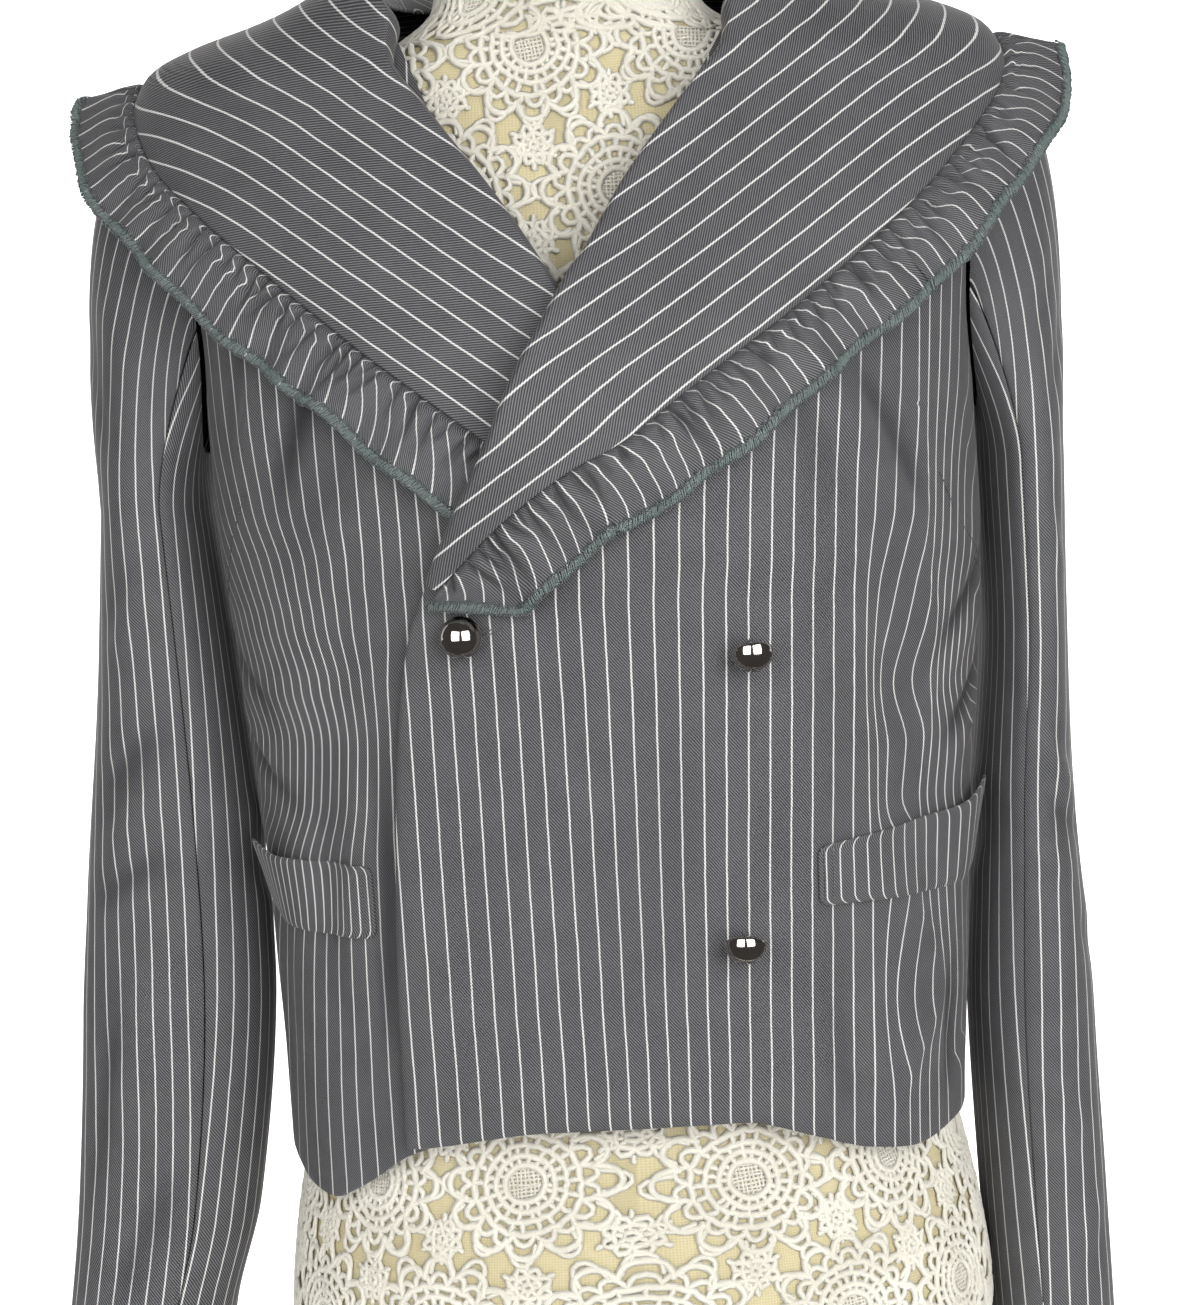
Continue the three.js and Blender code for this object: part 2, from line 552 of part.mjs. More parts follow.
// A point of the frill, which starts at the collar's outer seam and runs on in the collar's own direction.
function frillPoint(lines, along, share, lift, growth) {
  const seam = collarPoint(lines, along, 1, lift);
  const inside = collarPoint(lines, along, COLLAR_EDGE, lift);
  const before = collarPoint(lines, Math.max(0, along - DIRECTION_STEP), 1, lift);
  const direction = collarPoint(lines, Math.min(1, along + DIRECTION_STEP), 1, lift).sub(before).normalize();
  const outwards = seam.clone().sub(inside);
  const angle = lines.seamAngle(along);
  const standOff = blazer.normal(angle, lines.seamZ(along) - STAND_OFF.drop);
  standOff.z += STAND_OFF.upwards;
  const rise = FRILL_RISE * bell((angle - SLEEVE_ANGLE) / STAND_OFF.width);
  outwards.normalize().addScaledVector(standOff, rise);
  outwards.addScaledVector(direction, -outwards.dot(direction)).normalize();
  const up = outwards.clone().cross(direction);
  const width = FRILL_WIDTH * smoothStep(NARROW_END + Math.max(0, along) * growth);
  const height = FRILL_WAVE * Math.cos(along * FRILL_GATHERS * 2 * Math.PI) * share - FRILL_SINK;
  return seam.addScaledVector(outwards, FRILL_SEAM_GAP + share * width).addScaledVector(up, height);
}

function frillHalf(frontRows, side, lift, growth) {
  const lines = collarLines(frontRows);
  const place = new THREE.Vector3(side, 1, 1);
  const pointAt = (along, share) => frillPoint(lines, along, share, lift, growth).multiply(place);
  return wall(pointAt, evenly(0, 1, FRILL_GATHERS * 2), [0, 1], FRILL_CLOTH, side > 0);
}

// ---- pockets and buttons ----
const WELT_CLEARANCE = 1.2;

function welt(sizes, side, lift) {
  const pointAt = (up, share) => {
    const angle = side * mix(sizes.from, sizes.to, share);
    const low = mix(sizes.lowFront, sizes.lowSide, share);
    const z = mix(low, mix(sizes.topFront, sizes.topSide, share), up);
    const gape = sizes.gape * up * smoothStep((share - 0.3) / 0.7);
    return blazer.point(angle, z, lift(angle, z) + WELT_CLEARANCE + CLOTH + gape);
  };
  return wall(pointAt, evenly(0, 1, 3), evenly(0, 1, 8), CLOTH, side < 0);
}

// A domed metal button on its shank. Its back is at the origin, and it faces +Y.
function buttonGeometry() {
  const dome = new THREE.EllipseCurve(0, BUTTON_RIM, BUTTON_RADIUS, BUTTON_DOME, 0, Math.PI / 2);
  const profile = [
    new THREE.Vector2(0, -BUTTON_SHANK),
    new THREE.Vector2(BUTTON_SHANK_RADIUS, -BUTTON_SHANK),
    new THREE.Vector2(BUTTON_SHANK_RADIUS, 0),
    new THREE.Vector2(BUTTON_BACK_RADIUS, 0),
    ...dome.getPoints(6).slice(0, -1),
    new THREE.Vector2(0, BUTTON_RIM + BUTTON_DOME),
  ];
  return new THREE.LatheGeometry(profile, 18);
}

// ---- the part ----
const cloth = new THREE.MeshStandardMaterial({ color: 0x5b5b62, roughness: 0.75, metalness: 0 });
const formCover = new THREE.MeshStandardMaterial({ color: 0xece2c8, roughness: 0.9, metalness: 0 });
const buttonMetal = new THREE.MeshStandardMaterial({ color: 0x9a9a9c, roughness: 0.12, metalness: 1 });

const part = new THREE.Group();
function add(name, geometry, material) {
  const mesh = new THREE.Mesh(geometry, material);
  mesh.name = name;
  part.add(mesh);
  return mesh;
}

add("dress_form", dressForm(), formCover);
add("left_front", frontPanel(LEFT_FRONT_EDGE, LEFT_HEM, 1, overlapLift), cloth);
add("right_front", frontPanel(RIGHT_FRONT_EDGE, RIGHT_HEM, -1, noLift), cloth);
add("back", backPanel(), cloth);
add("left_welt", welt(LEFT_WELT, 1, overlapLift), cloth);
add("right_welt", welt(RIGHT_WELT, -1, noLift), cloth);

for (const [name, rows, side] of [["left", LEFT_SLEEVE, 1], ["right", RIGHT_SLEEVE, -1]]) {
  const topTurn = TOP_SLEEVE_TURN - SLEEVE_SEAM;
  add(`${name}_top_sleeve`, sleevePiece(rows, -topTurn, topTurn, 10, side), cloth);
  const underTurn = TOP_SLEEVE_TURN + SLEEVE_SEAM;
  add(`${name}_under_sleeve`, sleevePiece(rows, underTurn, 360 - underTurn, 6, side), cloth);
}

// The left frill narrows slowly towards the tip of the lapel. The right one ends under the left front.
for (const [name, rows, side, lift, growth] of [
  ["left", LEFT_COLLAR_FRONT, 1, overlapLift, 13],
  ["right", RIGHT_COLLAR_FRONT, -1, noLift, 30],
]) {
  add(`${name}_collar`, collarHalf(rows, side, lift), cloth);
  add(`${name}_frill`, frillHalf(rows, side, lift, growth), cloth);
}

for (const { name, x, z, droop } of BUTTONS) {
  const angle = blazer.angleAt(x, z);
  const tipped = BUTTON_TIP_ARM * Math.sin(droop * RADIANS);
  const clear = BUTTON_SHANK + BUTTON_CLEARANCE + tipped;
  const button = add(name, buttonGeometry(), buttonMetal);
  button.position.copy(blazer.point(angle, z, overlapLift(angle, z) + clear));
  button.rotation.x = (180 + droop) * RADIANS;
}

export default part;
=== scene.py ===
import math

import bpy
import numpy as np
from bpy.props import FloatProperty, FloatVectorProperty, IntProperty, PointerProperty
from mathutils import Matrix, Vector


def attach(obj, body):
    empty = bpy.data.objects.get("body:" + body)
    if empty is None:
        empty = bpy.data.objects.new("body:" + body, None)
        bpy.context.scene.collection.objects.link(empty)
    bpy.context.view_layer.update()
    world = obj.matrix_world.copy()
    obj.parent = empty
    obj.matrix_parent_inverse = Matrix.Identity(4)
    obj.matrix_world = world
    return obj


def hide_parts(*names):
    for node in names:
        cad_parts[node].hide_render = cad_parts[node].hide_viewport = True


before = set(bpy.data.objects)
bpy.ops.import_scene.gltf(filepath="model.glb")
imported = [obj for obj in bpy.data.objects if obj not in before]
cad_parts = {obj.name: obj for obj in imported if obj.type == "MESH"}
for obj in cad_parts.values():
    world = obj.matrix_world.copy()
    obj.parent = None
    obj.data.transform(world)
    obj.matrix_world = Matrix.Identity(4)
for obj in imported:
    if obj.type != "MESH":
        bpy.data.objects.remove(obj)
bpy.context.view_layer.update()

bl_info = {
    "name": "Cropped blazer on dress form",
    "version": (1, 0, 0),
    "blender": (4, 5, 0),
    "location": "View3D > Sidebar > Blazer",
    "description": "A pinstriped blazer with a frilled shawl collar, worn by a lace covered dress form",
    "category": "Add Mesh",
}

# Sizes in the tables are millimetres and degrees. An angle on the body counts from the middle of the front:
# 90 is the wearer's left side, 180 the middle of the back and -90 the wearer's right side.
MM = 0.001
BODY = "root"


def table(columns, *rows):
    """Rows with named columns."""
    names = columns.split()
    return [dict(zip(names, row)) for row in rows]


# ---- sizes that the construction has too ----
UNDERARM = 508
SHOULDER_TIP = 668
NECK_POINT = 708
LOWEST_HEM = 159
SEAM_GAP = 0.08
COLLAR_LIFT = 3.8
FRILL_WIDTH = 31
FRILL_SEAM_GAP = 3.2
CUFF = 40
SQUARENESS = 0.85
SLEEVE_SQUARENESS = 0.82
FRONT_ARMHOLE = 17
BACK_ARMHOLE = 30
ARMHOLE_ROUNDNESS = 2.2
TOP_SLEEVE_TURN = 107.5
OVER_SLEEVE = 13
NECK_TUCK = 2.2
NECK_SEAM_LIFT = 0.9
ROLL_FULLNESS = 2.2
FRILL_RISE = 0.85

FORM_RINGS = table(
    "z half front back",
    (0, 158, 104, 108),
    (40, 169, 110, 118),
    (80, 171, 110, 119),
    (120, 167, 108, 115),
    (165, 158, 105, 106),
    (205, 149, 100, 97),
    (260, 134, 91, 85),
    (325, 120, 82, 76),
    (385, 130, 89, 82),
    (425, 141, 96, 90),
    (465, 150, 103, 97),
    (505, 155, 104, 101),
    (545, 157, 97, 102),
    (585, 162, 86, 99),
    (615, 168, 75, 93),
    (640, 172, 65, 85),
    (655, 171, 58, 78),
    (665, 152, 53, 72),
    (677, 114, 49, 65),
    (690, 78, 47, 58),
    (705, 61, 46, 53),
    (735, 55, 45, 49),
    (780, 54, 44, 48),
)
BUST = {"z": 498, "x": 78, "width": 44, "height": 52, "depth": 14}
BLAZER_RINGS = table(
    "z half front back",
    (160, 167, 118, 117),
    (215, 167, 118, 112),
    (260, 168, 118, 108),
    (300, 168.5, 118, 106),
    (345, 170, 120, 105),
    (385, 173, 122, 106),
    (425, 177, 125, 108),
    (465, 180, 129, 111),
    (505, 181, 130, 113),
    (545, 182, 122, 113),
    (585, 186, 109, 110),
    (615, 190, 96, 105),
    (640, 192, 83, 98),
    (658, 190, 73, 91),
    (668, 186, 68, 86),
    (677, 168, 63, 80),
    (687, 140, 59, 74),
    (698, 108, 56, 67),
    (708, 82, 54, 62),
    (717, 75, 54, 59),
    (740, 73, 54, 58),
)
LEFT_HEM = table(
    "angle z",
    (-60, 189), (-33, 189), (-9, 196), (13, 195), (26, 184), (37, 174), (50, 170), (66, 173), (90, 171),
)
RIGHT_HEM = table(
    "angle z",
    (-90, 169), (-72, 163), (-55, 159), (-45, 168), (-34, 184), (-18, 196), (40, 200),
)
BACK_HEM = table("angle z", (90, 171), (120, 175), (180, 170), (240, 176), (270, 169))
LEFT_FRONT_EDGE = table(
    "z x",
    (160, -101), (260, -99), (330, -95), (387, -89), (422, -82),
    (444, -73), (497, -44), (562, -8), (628, 36), (700, 80),
)
RIGHT_FRONT_EDGE = table(
    "z x",
    (160, -78), (400, -76), (444, -62), (500, -28), (564, 10), (624, 50), (700, 82),
)
COLLAR_OVER_SHOULDER = table(
    "roll_angle roll_z seam_angle seam_z stand",
    (90, 708, 90, 668, 22),
    (122, 710, 118, 632, 25),
    (150, 712, 147, 594, 26),
    (179.8, 713, 179.8, 580, 26),
)
LEFT_COLLAR_FRONT = table(
    "roll_x roll_z seam_x seam_z stand",
    (-72, 446, -68, 444, 0),
    (-45, 497, -30, 478, 0),
    (-14, 553, 46, 523, 0),
    (29, 621, 138, 592, 1),
    (72, 690, 180, 641, 9),
)
RIGHT_COLLAR_FRONT = table(
    "roll_x roll_z seam_x seam_z stand",
    (-3, 543, 31, 494, 0),
    (6, 557, 49, 508, 0),
    (46, 622, 124, 571, 1),
    (76, 690, 173, 624, 9),
)
BODY_FOLDS = table(
    "angle z lean reach width depth",
    (92, 385, 0, 105, 25, 7),
    (88, 172, 0, 40, 18, -4),
    (52, 380, -5, 110, 9, -3.2),
    (66, 290, 4, 90, 7, 2.4),
    (30, 255, 2, 70, 10, -2.0),
    (46, 205, 0, 60, 8, 3.6),
    (-44, 340, 6, 120, 8, -4.0),
    (-54, 225, 0, 80, 9, 4.5),
    (-72, 260, 3, 110, 7, -2.5),
    (-56, 560, 12, 60, 9, 3.0),
    (60, 560, -10, 60, 9, 2.6),
    (125, 370, 4, 130, 9, -3.0),
    (152, 300, -3, 110, 9, 3.0),
    (205, 340, 3, 120, 10, -2.6),
    (236, 360, -4, 130, 9, 2.6),
)
LEFT_SLEEVE = table(
    "z x y half depth",
    (40, 204.5, 2, 29.5, 44),
    (130, 202, 4, 30, 47),
    (209, 200.5, 6, 29.5, 50),
    (310, 201, 8, 23, 56),
    (409, 205, 10, 18.2, 60),
    (480, 205.8, 12, 19.5, 60),
)
RIGHT_SLEEVE = table(
    "z x y half depth",
    (40, 250, -4, 41, 34),
    (81, 244, -3, 41, 35),
    (137, 231.5, -1, 45, 34),
    (235, 219.5, 2, 47, 37),
    (293, 216, 5, 44, 41),
    (409, 212, 9, 32.5, 53),
    (480, 211.5, 12, 25.5, 59),
)
ARM_TOP = 480
LEFT_WELT, RIGHT_WELT = table(
    "from to top_front top_side low_front low_side gape end_rise",
    (28, 78, 317, 326, 289, 284, 4, 8),
    (37.5, 75, 318, 320, 284, 287, 6, 5),
)
BUTTONS = table(
    "name x z droop turn",
    ("fastened_button", -60, 423, 8, 0),
    ("upper_button", 61, 411, 64, 10),
    ("lower_button", 52, 281, 64, -8),
)

# ---- creases that the looks add ----
# Each runs between two points of the panel. width is the half width of the trough, and a positive depth
# stands out. DEGREE_ON_BODY and DEGREE_ON_SLEEVE say how many millimetres a degree is.
BODY_CREASES = table(
    "from_angle from_z to_angle to_z width depth",
    (24, 560, 42, 470, 9, 1.6),
    (34, 540, 56, 455, 7, -1.4),
    (-30, 585, -52, 470, 8, -1.9),
    (-38, 600, -62, 480, 7, 1.6),
    (-20, 520, -46, 430, 9, 1.4),
    (86, 452, 58, 398, 6, -1.5),
    (84, 430, 54, 372, 6, 1.4),
    (88, 404, 60, 352, 6, -1.7),
    (84, 380, 62, 338, 5, 1.2),
    (-86, 420, -58, 382, 6, -1.5),
    (-88, 396, -60, 352, 6, 1.3),
    (-84, 372, -52, 340, 6, -1.3),
    (-40, 400, -46, 230, 8, 1.7),
    (-33, 380, -38, 215, 6, -1.3),
    (20, 400, 12, 220, 14, 0.8),
    (64, 262, 60, 180, 7, -1.5),
    (36, 262, 40, 186, 8, 1.2),
    (120, 560, 150, 470, 10, 1.5),
    (100, 540, 128, 440, 9, -1.6),
    (94, 430, 130, 380, 7, 1.6),
    (96, 400, 136, 345, 7, -1.7),
    (240, 560, 210, 470, 10, 1.5),
    (262, 536, 232, 440, 9, -1.5),
    (266, 425, 228, 372, 7, 1.6),
    (264, 392, 224, 340, 7, -1.6),
    (160, 300, 164, 180, 10, 1.4),
    (196, 310, 200, 178, 11, -1.3),
    (140, 250, 146, 180, 8, -1.2),
    (222, 260, 226, 180, 8, 1.2),
    (-88, 415, -88, 300, 10, 1.8),
)
DEGREE_ON_BODY = 2.5
# On a sleeve the turn counts from the shoulder: 90 is the front.
LEFT_SLEEVE_CREASES = table(
    "from_angle from_z to_angle to_z width depth",
    (20, 560, 70, 500, 8, -1.8),
    (40, 590, 88, 540, 7, 1.5),
    (-20, 560, -72, 505, 8, -1.6),
    (96, 470, 50, 420, 7, 1.5),
    (100, 350, 40, 322, 7, 2.0),
    (96, 322, 30, 300, 7, -2.2),
    (104, 296, 52, 282, 6, 1.7),
    (60, 262, 10, 236, 8, -1.5),
    (100, 190, 60, 150, 7, 1.5),
    (-100, 340, -46, 318, 8, 1.9),
    (-98, 312, -40, 290, 7, -1.9),
    (-96, 200, -52, 168, 8, 1.4),
    (150, 330, 210, 312, 8, 1.5),
    (148, 300, 214, 286, 8, -1.6),
    (40, 128, 82, 92, 8, 1.4),
)
RIGHT_SLEEVE_CREASES = table(
    "from_angle from_z to_angle to_z width depth",
    (16, 575, 64, 500, 9, -2.0),
    (36, 590, 84, 530, 8, 1.7),
    (-20, 570, -70, 505, 8, -1.7),
    (98, 452, 52, 408, 8, 1.8),
    (100, 380, 44, 346, 8, -2.2),
    (104, 352, 46, 318, 7, 2.2),
    (100, 318, 34, 292, 7, -2.0),
    (92, 270, 60, 180, 9, 2.0),
    (64, 250, 42, 140, 8, -1.7),
    (98, 170, 70, 90, 8, -1.8),
    (-100, 352, -44, 322, 8, 1.9),
    (-98, 320, -40, 296, 7, -1.9),
    (-90, 190, -54, 120, 9, 1.6),
    (150, 340, 212, 318, 9, 1.6),
    (148, 306, 214, 290, 8, -1.6),
)
DEGREE_ON_SLEEVE = 0.85
CREASE_DEPTH = 1.35
SLEEVE_CREASE_SHARE = 0.55
# A crease this deep, in millimetres, gets the darkest painted shade in its hollow.
DARKEST_SHADE_DEPTH = 2.6


# ---- curves and surfaces ----
def hermite(t, start, leaving, to, arriving):
    """A cubic from one value to another, leaving and arriving at the given rates."""
    back = 1 - t
    first = (1 + 2 * t) * back * back * start + t * back * back * leaving
    return first + t * t * (3 - 2 * t) * to - t * t * back * arriving


def curve_through(rows, across, up):
    """A smooth curve through two named columns. It never overshoots them."""
    x = np.array([row[across] for row in rows], float)
    y = np.array([row[up] for row in rows], float)
    slope = np.diff(y) / np.diff(x)
    tangent = np.concatenate([slope[:1], np.zeros(len(x) - 2), slope[-1:]])
    product = slope[:-1] * slope[1:]
    same = product > 0
    tangent[1:-1][same] = 2 * product[same] / (slope[:-1] + slope[1:])[same]

    def at(where):
        where = np.asarray(where, float)
        i = np.clip(np.searchsorted(x, where, side="right") - 1, 0, len(x) - 2)
        width = x[i + 1] - x[i]
        t = np.clip((where - x[i]) / width, 0, 1)
        inside = hermite(t, y[i], width * tangent[i], y[i + 1], width * tangent[i + 1])
        before = np.minimum(where - x[0], 0) * tangent[0]
        after = np.maximum(where - x[-1], 0) * tangent[-1]
        return inside + before + after

    return at


def mix(a, b, t):
    return a + (b - a) * t


def smooth(t):
    t = np.clip(t, 0, 1)
    return t * t * (3 - 2 * t)


def bell(distance):
    return np.exp(-np.square(distance))


def signed_power(value, power):
    return np.sign(value) * np.abs(value) ** power


def unit(vectors):
    return vectors / np.maximum(np.linalg.norm(vectors, axis=-1, keepdims=True), 1e-9)


def dot(a, b):
    return np.sum(a * b, axis=-1, keepdims=True)


def points(x, y, z):
    return np.stack(np.broadcast_arrays(x, y, z), axis=-1).astype(float)


class RingSurface:
    """A stack of rings, with a swell that may stand off it."""

    def __init__(self, rings, swell):
        self.half = curve_through(rings, "z", "half")
        self.front = curve_through(rings, "z", "front")
        self.back = curve_through(rings, "z", "back")
        self.swell = swell

    def bare(self, angle, z):
        s, c = np.sin(np.radians(angle)), np.cos(np.radians(angle))
        depth = np.where(c > 0, self.front(z), self.back(z))
        x = self.half(z) * signed_power(s, SQUARENESS)
        return points(x, -depth * signed_power(c, SQUARENESS), z)

    def normal(self, angle, z):
        around = self.bare(angle + 1.5, z) - self.bare(angle - 1.5, z)
        up = self.bare(angle, z + 2) - self.bare(angle, z - 2)
        return unit(np.cross(around, up))

    def point(self, angle, z, lift=0):
        out = self.swell(angle, z) + lift
        return self.bare(angle, z) + self.normal(angle, z) * np.asarray(out)[..., None]

    def angle_at(self, x, z):
        """The angle of the point on the front that lies x from the middle line."""
        share = np.minimum(1, np.abs(x) / self.half(z)) ** (1 / SQUARENESS)
        return np.sign(x) * np.degrees(np.arcsin(share))


def form_swell(angle, z):
    """The bust."""
    s, c = np.sin(np.radians(angle)), np.cos(np.radians(angle))
    x = 160 * np.abs(s) ** SQUARENESS
    out = BUST["depth"] * bell((x - BUST["x"]) / BUST["width"]) * bell((z - BUST["z"]) / BUST["height"])
    return np.where(c < 0, 0, out)


def nearest_angle(away):
    return away - 360 * np.round(away / 360)


def creases(rows, angle, z, degree):
    """Height of the creases at a point. degree is a degree's length on the surface."""
    total = np.zeros(np.broadcast(angle, z).shape)
    for row in rows:
        over = (row["to_angle"] - row["from_angle"]) * degree
        up = row["to_z"] - row["from_z"]
        length = math.hypot(over, up)
        x = nearest_angle(angle - row["from_angle"]) * degree
        y = z - row["from_z"]
        along = (x * over + y * up) / length**2
        off = (x * up - y * over) / length / row["width"]
        ends = smooth(along * 3) * smooth((1 - along) * 3)
        total = total + row["depth"] * ends * (bell(off) - 0.4 * bell((off - 1.8) / 1.3))
    return CREASE_DEPTH * total


def blazer_swell(angle, z):
    """The creases and the broad folds of the body."""
    total = creases(BODY_CREASES, angle, z, DEGREE_ON_BODY)
    for fold in BODY_FOLDS:
        away = nearest_angle(angle - fold["angle"] - fold["lean"] * (z - fold["z"]) / 100)
        total = total + fold["depth"] * bell(away / fold["width"]) * bell((z - fold["z"]) / fold["reach"])
    return total


FORM = RingSurface(FORM_RINGS, form_swell)
BLAZER = RingSurface(BLAZER_RINGS, blazer_swell)


OVER_FRONT = 2.9
OVER_COLLAR = 14.2


def overlap_lift(angle, z):
    """How far the left front stands off the body where the right front and collar lie under it."""
    x = BLAZER.bare(angle, z)[..., 0]
    over_front = OVER_FRONT * smooth((108 - x) / 24) * smooth((600 - z) / 60)
    return over_front + OVER_COLLAR * bell((x + 25) / 62) * bell((z - 519) / 74)


def no_lift(angle, z):
    return np.zeros(np.broadcast(angle, z).shape)


# ---- meshes ----
def make_mesh(name, verts, faces, material, uv=None):
    """A smooth mesh from millimetre points and a face table, with one UV for each point."""
    faces = np.asarray(faces)
    mesh = bpy.data.meshes.new(name)
    mesh.vertices.add(len(verts))
    mesh.vertices.foreach_set("co", (np.asarray(verts, float) * MM).astype(np.float32).ravel())
    sides = faces.shape[1]
    mesh.loops.add(faces.size)
    mesh.loops.foreach_set("vertex_index", faces.astype(np.int32).ravel())
    mesh.polygons.add(len(faces))
    mesh.polygons.foreach_set("loop_start", np.arange(0, faces.size, sides, dtype=np.int32))
    mesh.polygons.foreach_set("loop_total", np.full(len(faces), sides, np.int32))
    mesh.polygons.foreach_set("use_smooth", np.ones(len(faces), bool))
    if uv is not None:
        layer = mesh.uv_layers.new(name="cloth")
        layer.data.foreach_set("uv", (uv[faces.ravel()] * MM).astype(np.float32).ravel())
    mesh.update(calc_edges=True)
    mesh.validate()
    mesh.materials.append(material)
    piece = bpy.data.objects.new(name, mesh)
    bpy.context.scene.collection.objects.link(piece)
    return piece


def grid_faces(rows, columns, turned):
    """Quads over a grid of points, facing outwards where rows run up and columns to the right."""
    a = (np.arange(rows - 1)[:, None] * columns + np.arange(columns - 1)[None, :]).ravel()
    quads = np.stack([a, a + 1, a + 1 + columns, a + columns], axis=1)
    return quads[:, ::-1] if turned else quads


def graded(start, to, steps, edge):
    """Even lines with two more close to each end, for a soft rounded edge."""
    lines = np.linspace(start, to, steps + 1)
    inset = np.array([0.35, 1.0]) * edge
    return np.sort(np.concatenate([lines, start + inset, to - inset]))


def arc_lengths(grid, axis):
    """Length along each line of a grid from its first point."""
    step = np.linalg.norm(np.diff(grid, axis=axis), axis=-1)
    pad = [(0, 0), (0, 0)]
    pad[axis] = (1, 0)
    return np.pad(np.cumsum(step, axis=axis), pad)


def line_lengths(line):
    """Length along one line of points from its first point."""
    return np.concatenate([[0], np.cumsum(np.linalg.norm(np.diff(line, axis=0), axis=-1))])


def along_line(at, length, values):
    """The values that go with a line's points, at some lengths along it."""
    return np.stack([np.interp(at, length, column) for column in values.T], axis=-1)


def grid_normals(grid):
    """Normals of a grid, which point out where rows run up and columns to the right."""
    before = np.concatenate([grid[:, :1] * 2 - grid[:, 1:2], grid[:, :-1]], axis=1)
    after = np.concatenate([grid[:, 1:], grid[:, -1:] * 2 - grid[:, -2:-1]], axis=1)
    across = unit(after - grid) + unit(grid - before)
    return unit(np.cross(across, np.gradient(grid, axis=0)))


def hollows(height):
    """How much painted shade the cloth gets in its hollows, from 0 to 1, where creases stand at the given
    height.
    """
    return np.clip(-height / DARKEST_SHADE_DEPTH, 0, 1)


def set_marks(piece, marks):
    """Values for each point of a wall's grid, which its finish reads as attributes."""
    for key, values in marks.items():
        flat = np.asarray(values, float).ravel()
        attribute = piece.data.attributes.new(key, "FLOAT", "POINT")
        attribute.data.foreach_set("value", np.concatenate([flat, flat]).astype(np.float32))


def cloth_wall(name, grid, thickness, turned, uv, material, **marks):
    """A closed shell of cloth from the grid of its outer face, with softened edges."""
    rows, columns = grid.shape[:2]
    normals = grid_normals(grid) * (-1 if turned else 1)
    border = np.zeros((rows, columns))
    border[[0, -1], :] = 1
    border[:, [0, -1]] = 1
    softened = 0.3 * thickness * border[..., None]
    outside = grid - normals * softened
    inside = grid - normals * (thickness - softened)
    verts = np.concatenate([outside.reshape(-1, 3), inside.reshape(-1, 3)])
    inner = rows * columns
    quads = grid_faces(rows, columns, turned)
    loop = np.concatenate([
        np.arange(columns - 1),
        np.arange(rows - 1) * columns + columns - 1,
        np.arange(inner - 1, inner - columns, -1),
        np.arange(inner - columns, 0, -columns),
    ])
    ahead = np.roll(loop, -1)
    rim = np.stack([loop, loop + inner, ahead + inner, ahead], axis=1)
    if turned:
        rim = rim[:, ::-1]
    faces = np.concatenate([quads, quads[:, ::-1] + inner, rim])
    flat = uv.reshape(-1, 2)
    piece = make_mesh(name, verts, faces, material, np.concatenate([flat, flat]))
    set_marks(piece, marks)
    return piece


def tube_points(line, normal, radius, sides, flat):
    """Rings of points round many lines of equal length. line and normal are (count, steps, 3)."""
    along = unit(np.gradient(line, axis=1))
    side = unit(np.cross(normal, along))
    up = np.cross(along, side)
    turns = np.arange(sides) * 2 * math.pi / sides
    ring = side[:, :, None] * np.cos(turns)[:, None] * radius
    ring = ring + up[:, :, None] * np.sin(turns)[:, None] * radius * flat
    return line[:, :, None] + ring


def tube_faces(count, steps, sides):
    """Quads of tubes of rings, open at both ends."""
    base = np.arange(count)[:, None, None] * steps * sides
    step = np.arange(steps - 1)[None, :, None] * sides
    side = np.arange(sides)[None, None, :]
    a = base + step + side
    b = base + step + (side + 1) % sides
    return np.stack([a, b, b + sides, a + sides], axis=-1).reshape(-1, 4)


def halved(quads):
    """Two triangles for each quad."""
    return np.concatenate([quads[:, [0, 1, 2]], quads[:, [0, 2, 3]]])


def settle(piece, slot, *nodes):
    """Every piece rides on the one body and stands for its solids. Its slot is not used."""
    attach(piece, BODY)
    if nodes:
        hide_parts(*nodes)
    return piece


